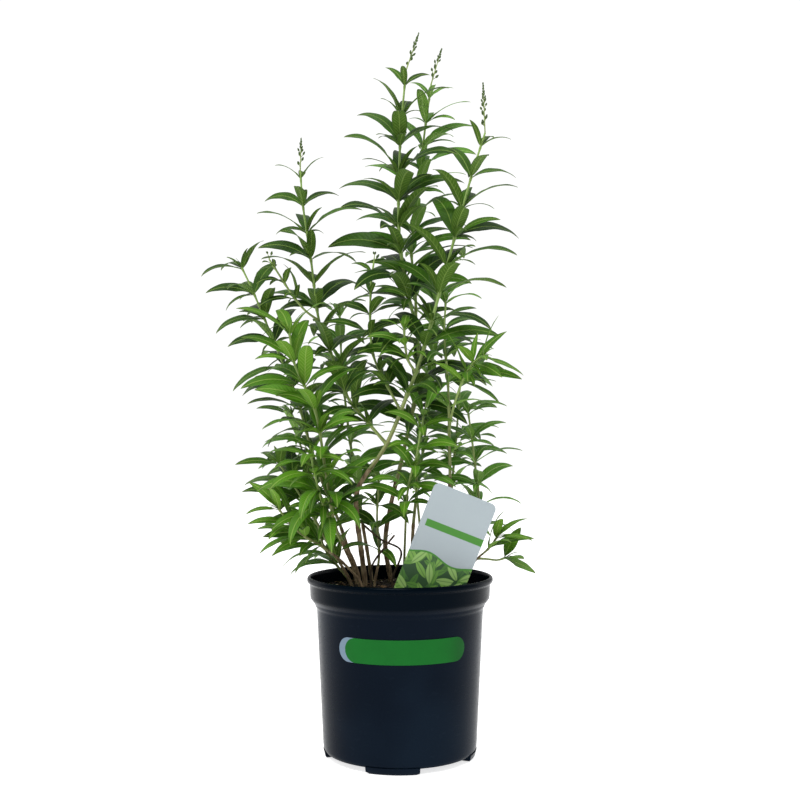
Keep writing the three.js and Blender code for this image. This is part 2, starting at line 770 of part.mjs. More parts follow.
function claimSpike(stem) {
  const reach = v(stem.spike);
  const steps = Math.ceil(reach.length() / SAMPLES.stemStep);
  const { place } = along(stem.chain, stem.chain.total);
  for (let k = 1; k <= steps; k += 1) {
    taken.push({ owner: stem.name, point: place.clone().addScaledVector(reach, k / steps), room: ROOM.spike });
  }
}

// Whether a leaf's samples stand over the rim and the soil, and clear of all that is taken. It
// may come closer to what grows on its own stem, and its inner part isn't tested against that.
function isClear(owner, samples) {
  for (const { point } of samples) {
    const out = Math.hypot(point.x, point.y);
    const lowest = out < POT.bodyTop.r ? SOIL.top + ROOM.overSoil : POT.rim.z + ROOM.overRim;
    if (out < POT.rim.r + ROOM.pastRim && point.z < lowest) return false;
  }
  const middle = samples[SAMPLES.middle].point;
  for (const other of taken) {
    const apart = Math.max(Math.abs(other.point.x - middle.x), Math.abs(other.point.z - middle.z));
    if (apart > SAMPLES.farthest) continue;
    const own = other.owner === owner;
    const limit = ((own ? ROOM.own : ROOM.leaf) + other.room) ** 2;
    for (const { share, point } of samples) {
      if (own && share < ROOM.ownFrom) continue;
      if (point.distanceToSquared(other.point) < limit) return false;
    }
  }
  return true;
}

// Whether a leaf leads far enough out from its stem for its root not to lie along the stem.
function leadsOut(leaf) {
  const root = leafFrame(leaf, LEAF.stations[0]).place.sub(leaf.place).normalize();
  return root.dot(leaf.outwards) > LEAF.leastSpread;
}

// Ways to bend a leaf clear of its neighbours: shortened, raised or lowered, and turned.
const SHORTER = [1, 0.82, 0.66];
const LIFTS = [0, 14, -14, 28, -26];
const TURNS = [0, 11, -11, 22, -22];

function settle(stem, leaf) {
  for (const shorter of SHORTER) {
    for (const lift of LIFTS) {
      for (const turn of TURNS) {
        const tried = {
          ...leaf,
          heading: leaf.heading + radians(turn),
          steep: leaf.steep + radians(lift),
          length: leaf.length * shorter,
        };
        if (!leadsOut(tried)) continue;
        const samples = leafSamples(tried);
        if (isClear(stem.name, samples)) {
          for (const { point } of samples) taken.push({ owner: stem.name, point, room: ROOM.leaf });
          return tried;
        }
      }
    }
  }
  return null;
}

function leavesOf(stem, number) {
  const draw = drawer(768143 * (number + 1));
  const leaves = [];
  stem.whorls.forEach((_, whorl) => {
    for (let index = 0; index < TWIG.sides / 2; index += 1) {
      const leaf = settle(stem, grow(stem, number, whorl, index, draw));
      if (leaf) leaves.push(leaf);
    }
  });
  return leaves;
}

// ---------------------------------------------------------------- flower spikes

// Closed buds in threes up a thin stalk, smaller and closer towards the tip.
function spike(stem) {
  const { place, ahead } = along(stem.chain, stem.chain.total);
  const reach = v(stem.spike);
  const length = reach.length();
  const way = reach.clone().normalize();
  const start = place.addScaledVector(ahead, CLEARANCE);
  const at = (share) => start.clone().addScaledVector(way, share * length);
  const ringAt = (share) => ring(at(share), way, SPIKE.radius * (1 - SPIKE.taper * share));
  const tiers = Math.max(2, Math.round(length / BUD.gap));
  const rings = [ringAt(0)];
  const limbs = [];
  for (let tier = 0; tier < tiers; tier += 1) {
    const share = SPIKE.lowest + SPIKE.reach * Math.pow(tier / tiers, SPIKE.crowding);
    const size = 1 - SPIKE.dwindling * share;
    limbs[rings.length] = [0, 2, 4].map((k) => bud((k + tier) % TWIG.sides, at(share), way, size));
    rings.push(ringAt(share), ringAt(share + BUD.foot / length));
  }
  return stalk([...rings, [at(1)]], limbs);
}

// A bud that leans out of one side of the stalk, square across and drawn out to a point. Its
// size is a share of a full bud's.
function bud(side, place, way, size) {
  const [length, half] = [BUD.length * size, BUD.radius * size * Math.SQRT1_2];
  const azimuth = (2 * Math.PI * (side + 0.5)) / TWIG.sides;
  const across = pointed(way, azimuth + Math.PI / 2);
  const lean = pointed(way, azimuth).multiplyScalar(BUD.spread).addScaledVector(way, BUD.spread);
  const over = lean.clone().cross(across).normalize();
  const middle = place.clone().addScaledVector(lean, length * BUD.swell);
  const corner = (sideways, up) => middle.clone()
    .addScaledVector(across, sideways * half)
    .addScaledVector(over, up * half);
  const square = [corner(-1, -1), corner(1, -1), corner(1, 1), corner(-1, 1)];
  return { side, sections: [square, [place.clone().addScaledVector(lean, length)]] };
}

// ---------------------------------------------------------------- the whole plant

// The soil's rise and fall at a place on its surface.
function soilRelief(x, y) {
  return SOIL.relief * Math.sin(x / 13 + 1) * Math.cos(y / 11 + x / 29);
}

// The soil, with a hole for each cane and a slot for the label.
function soil(stems) {
  const { wall, footHeight, baseRadius, bodyLow, bodyTop, bandLow } = POT;
  const gap = CLEARANCE * 1.2;
  const floor = footHeight + wall + gap;
  const geometry = turned([
    [0, floor],
    [baseRadius - wall - gap, floor],
    [bodyLow.r - wall - gap, bodyLow.z + wall / 2],
    [bodyTop.r - wall - gap, bodyTop.z + wall / 2 + gap],
    [bandLow.r - wall - gap, bandLow.z + wall / 2 + gap],
    [bandLow.r - wall - gap, SOIL.top],
    ...SOIL.rings.map((r) => [r, SOIL.top]),
    [0, SOIL.top],
  ]);
  const position = geometry.attributes.position;
  for (let i = 0; i < position.count; i += 1) {
    const [x, y, z] = [position.getX(i), position.getY(i), position.getZ(i)];
    if (z > SOIL.top - CLEARANCE) position.setZ(i, z + soilRelief(x, y));
  }
  let body = solid(geometry);
  for (const stem of stems) {
    if (!stem.parent) body = body.subtract(tube(stem, -CLEARANCE, stem.woody, CLEARANCE));
  }
  return meshOf("potting_soil", body.subtract(solid(card(CLEARANCE))), MATERIALS.soil);
}

const greenFrom = (stem) => (stem.parent ? 0 : stem.woody + CLEARANCE);

// The lengths at which the green part has rings: two at each whorl, with the whorl's number
// given at the lower one, and even steps between.
function shootStops(stem) {
  const half = TWIG.nodeHeight / 2;
  const stops = [{ length: greenFrom(stem) }];
  for (const [whorl, length] of [...stem.whorls.entries()].reverse()) {
    const steps = evenly(stops[stops.length - 1].length, length - half);
    stops.push(...steps.map((s) => ({ length: s })));
    stops[stops.length - 1].whorl = whorl;
    stops.push({ length: length + half });
  }
  return [...stops, { length: stem.chain.total }];
}

// The green part of a stem with its leaves.
function leafyShoot(stem, leaves) {
  const stops = shootStops(stem);
  const limbs = stops.map(({ whorl }) => leaves
    .filter((leaf) => leaf.whorl === whorl)
    .map((leaf) => ({ side: leaf.side, sections: leafSections(leaf) })));
  return stalk(stops.map(({ length }) => stemRing(stem, length)), limbs);
}

// What a branch stands off from: the stem that it grows on, a little thicker.
function seatOf(parent) {
  const green = stalk(shootStops(parent).map(({ length }) => stemRing(parent, length, CLEARANCE)));
  return parent.woody ? green.add(tube(parent, 0, parent.woody, CLEARANCE)) : green;
}

function lemonVerbena() {
  const group = new THREE.Group();
  const byName = new Map(STEMS.map((stem) => [stem.name, stem]));
  const all = [...STEMS, ...DRY_TWIGS];
  all.forEach((stem) => prepare(stem, byName.get(stem.parent)));
  claimHardThings();
  all.forEach(claimStem);
  group.add(nurseryPot(), bandLabel(), soil(all));
  group.add(meshOf("plant_label", solid(card(0)), MATERIALS.card));
  DRY_TWIGS.forEach((twig) => group.add(meshOf(twig.name, tube(twig, 0, twig.woody), MATERIALS.dry)));
  STEMS.forEach((stem, number) => {
    const leaves = leavesOf(stem, number);
    if (stem.woody) group.add(meshOf(`cane_${stem.name}`, tube(stem, 0, stem.woody), MATERIALS.cane));
    const shoot = leafyShoot(stem, leaves);
    const seated = stem.parent ? shoot.subtract(seatOf(byName.get(stem.parent))) : shoot;
    group.add(meshOf(`shoot_${stem.name}`, seated, MATERIALS[stem.tone]));
    if (stem.spike) group.add(meshOf(`flower_spike_${stem.name}`, spike(stem), MATERIALS.spike));
  });
  return group;
}

export default lemonVerbena();
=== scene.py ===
"""A lemon verbena in its nursery pot: the looks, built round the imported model.

Plant sizes are in millimetres, as in the model's source, and become metres in `make_piece`.
The stems and leaves are grown by the same rules and draws as the solids that they replace.
"""
import json
import math
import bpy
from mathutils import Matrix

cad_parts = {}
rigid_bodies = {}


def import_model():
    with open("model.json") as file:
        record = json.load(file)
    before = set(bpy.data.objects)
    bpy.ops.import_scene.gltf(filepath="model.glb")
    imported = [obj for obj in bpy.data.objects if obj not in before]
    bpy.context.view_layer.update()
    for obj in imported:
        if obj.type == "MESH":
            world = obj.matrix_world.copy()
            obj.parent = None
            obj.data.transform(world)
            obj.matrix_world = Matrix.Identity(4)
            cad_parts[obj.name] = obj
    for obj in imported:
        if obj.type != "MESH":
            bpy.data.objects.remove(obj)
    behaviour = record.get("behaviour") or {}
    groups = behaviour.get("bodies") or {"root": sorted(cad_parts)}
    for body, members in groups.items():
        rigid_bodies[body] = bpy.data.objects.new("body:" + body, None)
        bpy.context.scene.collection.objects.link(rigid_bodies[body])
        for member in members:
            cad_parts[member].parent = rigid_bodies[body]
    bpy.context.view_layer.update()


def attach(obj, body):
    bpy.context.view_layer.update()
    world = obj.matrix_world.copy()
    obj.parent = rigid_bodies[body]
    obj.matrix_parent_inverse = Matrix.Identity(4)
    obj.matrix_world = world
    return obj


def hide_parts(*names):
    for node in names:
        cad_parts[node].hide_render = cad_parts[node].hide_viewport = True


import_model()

from types import SimpleNamespace as Sizes

import bpy
import numpy as np
from mathutils import Vector, noise

MM = 0.001

# ---------------------------------------------------------------- sizes, as in the model

POT = Sizes(
    wall=1.6, foot_height=6, foot_inner=61, base_radius=77.8,
    body_low=(78.8, 8.5), body_top=(85.5, 153.5), band_low=(92, 161.5), band_top=(93, 176.5),
    rim=(95.2, 177.8), rim_height=5.2, feet=4, foot_span=40, first_foot=-95.5,
    hub_radius=18, drain_radius=5, drain_ring=66,
)
SOIL = Sizes(top=168.5, relief=1.6, depth=38, clearance=0.3)
LABEL = Sizes(
    width=66, thickness=0.8, corner=6, card_length=115.5, stake_length=30,
    stake_width=16, foot=(23.8, -40, 161.7), lean=21.5, edge=3, shoulder=4,
)
BAND = Sizes(middle=119.5, height=24, start=-44.5, end=48)
LEAF = Sizes(
    aspect=0.215, petiole=0.05, rise_drop=1.4, lowest_rise=24,
    young_under_spike=(0.46, 0.72, 0.88, 0.95), young=(0.8, 0.92), bend=58, facing=34,
    first_station=0.28, upper_whorls=3, least_spread=0.35,
)
VARIED = Sizes(
    azimuth=20, rise=20, bend_least=0.8, bend_span=0.4, length_least=0.9,
    length_span=0.18, roll_upper=30, roll_lower=54, twist=36, sweep=0.16,
)
TWIG = Sizes(sides=6, tip_radius=0.95)
CLOSING = Sizes(less=0.03, least=0.7)
ROOM = Sizes(
    leaf=2.5, own=0.6, own_from=0.3, twig=2, spike=4, label=3.5, rim=5,
    over_soil=7, over_rim=12, past_rim=8, widest=8,
)
SAMPLES = Sizes(steps=12, rim_step=5, card_step=6, stem_step=4)

# Every stem: its tone, its radius at the base, its parent or the length of its wood, the lengths
# without leaves at its base (bare) and at its tip (inset), the gap between whorls, the length of a
# full leaf, the leaves' rise in degrees, and its route, base first. Some have a spike on the tip.
STEMS = [
    dict(name="front_left", tone="bright", base=2.2, woody=106, bare=136, inset=3, gap=27, leaf=71, rise=60,
         bend=54,
         route=[[-42, 18, 169], [-49, 12, 197], [-66, -4, 232], [-75, -24, 290], [-84, -40, 350],
                [-104, -48, 397], [-109, -50, 428]]),
    dict(name="front_left_low", tone="bright", parent="front_left", base=1.5, bare=38, inset=3, gap=19,
         leaf=66, rise=44,
         route=[[-59, 2, 219], [-71, -20, 241], [-79, -40, 266], [-84, -54, 290], [-87, -60, 308]]),
    dict(name="trunk", tone="dark", base=2.9, woody=168, bare=250, inset=15, gap=33, leaf=80, rise=58,
         spike=[-2, 0, 50],
         route=[[-37, 30, 169], [-42, 22, 215], [-45, 15, 243], [-43, 8, 273], [-14, 0, 318], [7, -8, 368],
                [23, -12, 412], [47, -15, 497], [71, -18, 585], [86, -20, 633]]),
    dict(name="tallest", tone="dark", base=2.7, woody=150, bare=190, inset=16, gap=31, leaf=80, rise=62,
         spike=[13, 0, 38],
         route=[[-10, 60, 169], [-16, 50, 209], [-10, 42, 252], [4, 36, 311], [18, 32, 380], [18, 28, 436],
                [9, 22, 472], [-1, 12, 537], [0, 5, 627], [6, 0, 702]]),
    dict(name="left", tone="dark", parent="trunk", base=1.8, bare=26, inset=8, gap=29, leaf=75, rise=56,
         spike=[1, 0, 34],
         route=[[-14, 0, 318], [-35, 10, 342], [-55, 16, 367], [-70, 20, 406], [-85, 22, 447],
                [-93, 20, 508], [-101, 16, 564], [-104, 14, 602]]),
    dict(name="centre", tone="dark", parent="trunk", base=1.4, bare=26, inset=12, gap=22, leaf=60, rise=50,
         spike=[1, 0, 9],
         route=[[2, -6, 352], [-8, 0, 368], [-18, 5, 387], [-28, 8, 411], [-31, 8, 441], [-30, 4, 483],
                [-27, 2, 506]]),
    dict(name="inner", tone="bright", parent="trunk", base=1.3, bare=16, inset=3, gap=15, leaf=46, rise=56,
         route=[[15, -10, 391], [8, -22, 403], [5, -30, 418], [4, -34, 434]]),
    dict(name="second", tone="grey", parent="tallest", base=1.6, bare=24, inset=16, gap=26, leaf=72,
         rise=58, spike=[11, 0, 37],
         route=[[18, 29, 430], [17, 37, 452], [16, 43, 487], [12, 45, 525], [17, 42, 561], [24, 38, 632],
                [33, 33, 699]]),
    dict(name="right", tone="grey", base=2.2, woody=152, bare=165, inset=4, gap=28, leaf=63, rise=46,
         route=[[39, 25, 170], [48, 22, 228], [52, 18, 280], [51, 12, 324], [50, 8, 373], [46, 4, 429],
                [47, 0, 466]]),
    dict(name="right_front", tone="bright", parent="right", base=1.3, bare=60, inset=2, gap=14, leaf=56,
         rise=40, bend=20,
         route=[[51, 11, 330], [54, -5, 353], [62, -28, 380], [72, -46, 398], [81, -58, 405]]),
    dict(name="far_left", tone="dark", base=2, woody=100, bare=118, inset=3, gap=29, leaf=66, rise=50,
         route=[[-46, 38, 168], [-62, 40, 226], [-88, 42, 290], [-110, 42, 365], [-132, 38, 421],
                [-155, 30, 478], [-167, 26, 504]]),
    dict(name="left_small", tone="dark", parent="left", base=1.2, bare=22, inset=9, gap=20, leaf=48,
         rise=50, spike=[-2, 0, 7],
         route=[[-85, 22, 446], [-99, 12, 457], [-112, 3, 473], [-125, -1, 493], [-134, -3, 507]]),
    dict(name="low_left", tone="bright", base=1.7, woody=92, bare=96, inset=2, gap=21, leaf=54, rise=62,
         bend=40,
         route=[[-39, 10, 169], [-58, 6, 194], [-80, -6, 213], [-99, -18, 226], [-112, -26, 240],
                [-122, -32, 254]]),
    dict(name="label_left", tone="bright", base=1.5, woody=46, bare=120, inset=2, gap=21, leaf=54, rise=46,
         route=[[4, 45, 168], [5, 20, 214], [8, -5, 271], [17, -15, 308], [21, -20, 334]]),
    dict(name="low_right", tone="bright", base=1.5, woody=88, bare=94, inset=2, gap=14, leaf=52, broad=1.1,
         rise=66, bend=36,
         route=[[54, 16, 168], [66, 10, 184], [80, 3, 200], [91, -4, 211], [99, -9, 223]]),
    dict(name="lowest_right", tone="bright", parent="low_right", base=1.1, bare=24, inset=2, gap=12,
         leaf=46, broad=1.8, rise=50, bend=14,
         route=[[80, 3, 200], [90, 6, 199], [101, 5, 198], [109, 2, 201]]),
    dict(name="lower_right", tone="grey", base=1.8, woody=85, bare=90, inset=2, gap=26, leaf=56, rise=46,
         route=[[66, 35, 168], [76, 36, 216], [83, 34, 258], [80, 32, 290], [76, 30, 322], [72, 28, 350]]),
    dict(name="low_back_left", tone="bright", base=1.5, woody=46, bare=50, inset=2, gap=16, leaf=58, rise=40,
         route=[[-52, 30, 168], [-66, 32, 188], [-80, 29, 208], [-86, 24, 232]]),
    dict(name="lower_left", tone="dark", base=1.8, woody=66, bare=72, inset=2, gap=24, leaf=66, rise=44,
         bend=42,
         route=[[-50, 20, 168], [-72, 18, 208], [-98, 12, 255], [-125, 4, 298]]),
    dict(name="low_centre", tone="dark", base=1.6, woody=60, bare=66, inset=2, gap=25, leaf=56, rise=46,
         route=[[-27, 24, 168], [-22, 20, 200], [-24, 14, 240], [-22, 8, 280]]),
    dict(name="behind_label", tone="grey", base=1.6, woody=46, bare=130, inset=2, gap=25, leaf=56, rise=46,
         route=[[27, 40, 168], [19, 25, 250], [17, 20, 279], [22, 17, 332], [30, 12, 372]]),
    dict(name="back", tone="grey", base=2.2, woody=100, bare=120, inset=3, gap=30, leaf=66, rise=52,
         route=[[13, 70, 168], [15, 82, 233], [27, 96, 321], [36, 104, 400], [40, 108, 479]]),
    dict(name="back_left", tone="grey", base=2.2, woody=100, bare=110, inset=3, gap=30, leaf=64, rise=50,
         route=[[-31, 68, 168], [-42, 84, 233], [-56, 98, 321], [-65, 106, 400], [-68, 108, 462]]),
    dict(name="back_right", tone="grey", base=2, woody=90, bare=120, inset=3, gap=29, leaf=62, rise=48,
         route=[[43, 62, 168], [53, 78, 234], [62, 90, 321], [67, 96, 383]]),
    dict(name="far_back_left", tone="grey", base=1.9, woody=80, bare=100, inset=3, gap=28, leaf=56, rise=46,
         route=[[-44, 48, 168], [-74, 64, 234], [-104, 76, 300], [-119, 80, 350]]),
]

# Dead twigs, crooked and dark.
DRY_TWIGS = [
    dict(name="dry_twig_long", base=1.2,
         route=[[-8, 12, 168], [-7, 11, 181], [1, 9, 207], [-21, 6, 220], [-49, 2, 245]]),
    dict(name="dry_twig_short", base=1.1,
         route=[[-30, 6, 168], [-29, 3, 192], [-14, -1, 214], [-6, -2, 224]]),
]


# ---------------------------------------------------------------- stems


def unit(vector):
    return vector / np.linalg.norm(vector)


def chain_of(route):
    """Points on a smooth curve through the route, with the length run so far at each."""
    steps = 12
    route = np.array(route, float)
    ends = 2 * route[0] - route[1], 2 * route[-1] - route[-2]
    through = np.vstack([ends[0], route, ends[1]])
    t = (np.arange(steps) / steps)[:, None]
    spans = []
    for p0, p1, p2, p3 in zip(through, through[1:], through[2:], through[3:]):
        spans.append(0.5 * (2 * p1 + (p2 - p0) * t + (2 * p0 - 5 * p1 + 4 * p2 - p3) * t * t
                            + (3 * p1 - p0 - 3 * p2 + p3) * t * t * t))
    points = np.vstack([*spans, route[-1]])
    lengths = np.concatenate([[0], np.cumsum(np.linalg.norm(np.diff(points, axis=0), axis=1))])
    return {"points": points, "lengths": lengths, "total": lengths[-1]}


def along(chain, length):
    """The place and the way ahead at a length along a chain."""
    lengths, points = chain["lengths"], chain["points"]
    i = min(max(1, int(np.searchsorted(lengths, length))), len(lengths) - 1)
    step = points[i] - points[i - 1]
    return points[i - 1] + (length - lengths[i - 1]) / (lengths[i] - lengths[i - 1]) * step, unit(step)


def stem_radius(stem, length):
    return stem["base"] + (TWIG.tip_radius - stem["base"]) * (length / stem["chain"]["total"])


def pointed(ahead, angle):
    """The direction square to the way ahead, at an angle round it."""
    across = unit(np.cross((0, 1, 0), ahead))
    return across * math.cos(angle) + np.cross(ahead, across) * math.sin(angle)


def leaving(ahead, angle, rise):
    """The way in which a leaf leaves its stem."""
    return pointed(ahead, angle) * math.cos(rise) + ahead * math.sin(rise)


def whorl_lengths(stem):
    lengths = []
    at = stem["chain"]["total"] - stem["inset"]
    while at > stem["bare"]:
        lengths.append(at)
        at -= stem["gap"] * max(CLOSING.least, 1 - CLOSING.less * (len(lengths) - 1))
    return lengths


def prepare(stem, parent):
    """A stem's curve and whorls. A branch starts on its parent's curve, any other stem in the soil.

    A dead twig has no whorls, and all of it is wood."""
    first, rest = stem["route"][0], stem["route"][1:]
    if parent:
        apart = np.linalg.norm(parent["chain"]["points"] - np.array(first, float), axis=1)
        start = [parent["chain"]["points"][int(np.argmin(apart))]]
    else:
        start = [[first[0], first[1], first[2] - SOIL.depth], first]
    stem["chain"] = chain_of([*start, *rest])
    stem["whorls"] = whorl_lengths(stem) if "gap" in stem else []
    if "gap" not in stem:
        stem["woody"] = stem["chain"]["total"]


# ---------------------------------------------------------------- leaves


def drawer(state):
    """A repeatable run of numbers from 0 to 1."""
    def draw():
        nonlocal state
        state = (state * 1664525 + 1013904223) % 4294967296
        return state / 4294967296
    return draw


def grow(stem, number, whorl, index, draw):
    """A leaf as grown: where it starts, its heading, how steeply it leaves and how it arches."""
    def either(span):
        return span * (draw() - 0.5)

    place, ahead = along(stem["chain"], stem["whorls"][whorl])
    face = 360 / TWIG.sides * ((1 + whorl + number + 2 * index) % TWIG.sides + 0.5)
    azimuth = math.radians(face + either(VARIED.azimuth))
    sizes = LEAF.young_under_spike if "spike" in stem else LEAF.young
    young = sizes[whorl] if whorl < len(sizes) else 1
    held = max(LEAF.lowest_rise, stem["rise"] - LEAF.rise_drop * whorl)
    rise = math.radians(held + either(VARIED.rise))
    start = leaving(ahead, azimuth, rise)
    heading = math.atan2(start[1], start[0])
    bend = (stem.get("bend", LEAF.bend) + whorl) * (VARIED.bend_least + VARIED.bend_span * draw())
    length = stem["leaf"] * young * (VARIED.length_least + VARIED.length_span * draw())
    roll = either(VARIED.roll_upper if whorl < LEAF.upper_whorls else VARIED.roll_lower)
    roll -= LEAF.facing * math.cos(heading)
    return {
        "place": place, "whorl": whorl, "outwards": pointed(ahead, math.radians(face)), "heading": heading,
        "steep": math.asin(start[2]), "bend": math.radians(bend), "length": length,
        "roll": math.radians(roll), "aspect": LEAF.aspect * stem.get("broad", 1),
        "twist": math.radians(either(VARIED.twist)), "sweep": either(VARIED.sweep),
    }


def leaf_frame(leaf, share):
    """The leaf's middle line at shares of its length, with its side and its upper face there."""
    share = np.atleast_1d(np.asarray(share, float))[:, None]
    now = leaf["steep"] - leaf["bend"] * share
    out = (math.sin(leaf["steep"]) - np.sin(now)) / leaf["bend"] * leaf["length"]
    up = (np.cos(now) - math.cos(leaf["steep"])) / leaf["bend"] * leaf["length"]
    cos, sin = math.cos(leaf["heading"]), math.sin(leaf["heading"])
    flat_side = np.array([[sin, -cos, 0.0]])
    flat_top = np.hstack([-np.sin(now) * cos, -np.sin(now) * sin, np.cos(now)])
    turn = leaf["roll"] * np.minimum(1, share * 3) + leaf["twist"] * share
    place = leaf["place"] + np.hstack([cos * out, sin * out, up])
    place = place + flat_side * leaf["sweep"] * leaf["length"] * share * share
    side = flat_side * np.cos(turn) + flat_top * np.sin(turn)
    top = flat_top * np.cos(turn) - flat_side * np.sin(turn)
    return place, side, top


def half_width(leaf, share):
    """Half the blade's width: widest a little before the middle, where `shape` is 1, and pointed."""
    blade = np.maximum(0, (np.asarray(share, float) - LEAF.petiole) / (1 - LEAF.petiole))
    shape = 2.72 * blade ** 0.62 * (1 - blade) ** 0.85
    return leaf["length"] * leaf["aspect"] * shape / 2


def leaf_samples(leaf):
    """Points on both edges and the middle line, and the share of the length of each."""
    shares = np.arange(1, SAMPLES.steps + 1) / SAMPLES.steps
    place, side, _ = leaf_frame(leaf, shares)
    half = half_width(leaf, shares)[:, None]
    points = np.stack([place - side * half, place, place + side * half], axis=1)
    return points.reshape(-1, 3), np.repeat(shares, 3)


class Taken:
    """What already stands somewhere: points, each with the room that it needs and its owner."""

    def __init__(self):
        self.stand = np.zeros((0, 3)), np.zeros(0), np.zeros(0, int)

    def add(self, owner, points, room):
        points = np.asarray(points, float)
        new = points, np.broadcast_to(room, len(points)), np.full(len(points), owner)
        self.stand = tuple(np.concatenate(pair) for pair in zip(self.stand, new))


def within(low, high, stand):
    close = np.all((stand[0] >= low) & (stand[0] <= high), axis=1)
    return tuple(values[close] for values in stand)


HARD = -1  # the owner of what isn't a stem


def claim_hard_things(taken):
    rim_radius, rim_low = POT.rim
    angles = np.radians(np.arange(0, 360, SAMPLES.rim_step))
    ring = round_axis(rim_radius - POT.wall, angles, rim_low + POT.rim_height / 2)
    taken.add(HARD, ring, ROOM.rim)
    edge = LABEL.width // 2 - LABEL.edge
    ups = np.arange(0, LABEL.card_length + 0.01, SAMPLES.card_step)
    acrosses = np.arange(-edge, edge + 0.01, SAMPLES.card_step)
    taken.add(HARD, [on_card(across, up) for up in ups for across in acrosses], ROOM.label)


def on_card(across, up, out=0.0):
    """The place of a point of the label's card, out towards the front of it."""
    lean = math.radians(LABEL.lean)
    x, y, z = LABEL.foot
    return (x + up * math.sin(lean) + across * math.cos(lean), y - out,
            z + up * math.cos(lean) - across * math.sin(lean))


def claim_stem(taken, number, stem):
    chain = stem["chain"]
    lengths = np.arange(0 if "parent" in stem else SOIL.depth, chain["total"], SAMPLES.stem_step)
    points = [along(chain, length)[0] for length in lengths]
    taken.add(number, points, stem_radius(stem, lengths) + ROOM.twig)
    if "spike" in stem:
        reach = np.array(stem["spike"], float)
        steps = math.ceil(np.linalg.norm(reach) / SAMPLES.stem_step)
        shares = np.arange(1, steps + 1)[:, None] / steps
        taken.add(number, along(chain, chain["total"])[0] + reach * shares, ROOM.spike)


def over_pot(points):
    """Whether points stand clear over the soil and the rim."""
    out = np.hypot(points[:, 0], points[:, 1])
    lowest = np.where(out < POT.body_top[0], SOIL.top + ROOM.over_soil,
                      POT.rim[1] + ROOM.over_rim)
    return not np.any((out < POT.rim[0] + ROOM.past_rim) & (points[:, 2] < lowest))


def is_clear(owner, points, shares, near):
    """Whether a leaf's samples keep clear of all that is near. It may come closer to its own stem."""
    if not over_pot(points):
        return False
    low, high = points.min(axis=0) - ROOM.widest, points.max(axis=0) + ROOM.widest
    others, rooms, owners = within(low, high, near)
    own = owners == owner
    limits = (np.where(own, ROOM.own, ROOM.leaf) + rooms) ** 2
    apart = ((points[:, None, :] - others[None, :, :]) ** 2).sum(axis=2)
    touching = apart < limits[None, :]
    touching[np.ix_(shares < ROOM.own_from, own)] = False
    return not touching.any()


def leads_out(leaf):
    root = leaf_frame(leaf, LEAF.first_station)[0][0] - leaf["place"]
    return unit(root) @ leaf["outwards"] > LEAF.least_spread


# Small leaves in the axils: from which whorl down, how long beside a full leaf, how much steeper
# in radians, and the share of places that hold one, for each tone.
AXIL = Sizes(first_whorl=1, least=0.34, span=0.36, lift=0.22, steepest=1.4)
AXIL_SHARE = {"dark": 0.6, "bright": 1, "grey": 0.85}

WAYS = [(shorter, lift, turn) for shorter in (1, 0.82, 0.66) for lift in (0, 14, -14, 28, -26)
        for turn in (0, 11, -11, 22, -22)]


def settle(taken, number, leaf, ways=WAYS):
    """The leaf bent clear of its neighbours, or none where it can't be."""
    reach = leaf["length"] + 2 * ROOM.widest
    near = within(leaf["place"] - reach, leaf["place"] + reach, taken.stand)
    for shorter, lift, turn in ways:
        tried = {**leaf, "heading": leaf["heading"] + math.radians(turn),
                 "steep": leaf["steep"] + math.radians(lift), "length": leaf["length"] * shorter}
        if not leads_out(tried):
            continue
        points, shares = leaf_samples(tried)
        if is_clear(number, points, shares, near):
            taken.add(number, points, ROOM.leaf)
            return [tried]
    return []


def leaves_of(taken, number, stem):
    draw = drawer(768143 * (number + 1))
    leaves = []
    for whorl in range(len(stem["whorls"])):
        for index in range(TWIG.sides // 2):
            leaves += settle(taken, number, grow(stem, number, whorl, index, draw))
    return leaves


def small_leaves_of(taken, number, stem):
    """Lesser leaves in the axils, which aren't on the model. They find what room is left."""
    draw = drawer(55441 * (number + 1))
    leaves = []
    for whorl in range(AXIL.first_whorl, len(stem["whorls"])):
        for index in range(TWIG.sides):
            leaf = grow(stem, number, whorl, index / 2, draw)
            leaf["length"] *= AXIL.least + AXIL.span * draw()
            leaf["steep"] = min(AXIL.steepest, leaf["steep"] + AXIL.lift)
            if draw() < AXIL_SHARE[stem["tone"]]:
                leaves += settle(taken, number, leaf, WAYS[::4])
    return leaves


def grow_plant():
    """Prepares every stem and returns the leaves of each, as they stand on the model."""
    by_name = {stem["name"]: stem for stem in STEMS}
    taken = Taken()
    claim_hard_things(taken)
    for number, stem in enumerate([*STEMS, *DRY_TWIGS]):
        prepare(stem, by_name.get(stem.get("parent")))
        claim_stem(taken, number, stem)
    leaves = [leaves_of(taken, number, stem) for number, stem in enumerate(STEMS)]
    small = [small_leaves_of(taken, number, stem) for number, stem in enumerate(STEMS)]
    return leaves, small


# ---------------------------------------------------------------- meshes


def three(*values):
    """Three numbers for each point, spread over the points where a number is the same for all."""
    return np.stack(np.broadcast_arrays(*values), axis=-1)


def circle(count):
    """Angles all the way round."""
    return 2 * np.pi * np.arange(count) / count


def round_axis(radii, angles, heights):
    """Points round the pot's axis."""
    return three(radii * np.cos(angles), radii * np.sin(angles), heights)


def hoop(place, way, angles, radius, aside=(0, 1, 0)):
    """A ring round a place, square to the way ahead."""
    across = unit(np.cross(aside, way))
    beyond = np.cross(way, across)
    return place + (np.cos(angles)[:, None] * across + np.sin(angles)[:, None] * beyond) * radius


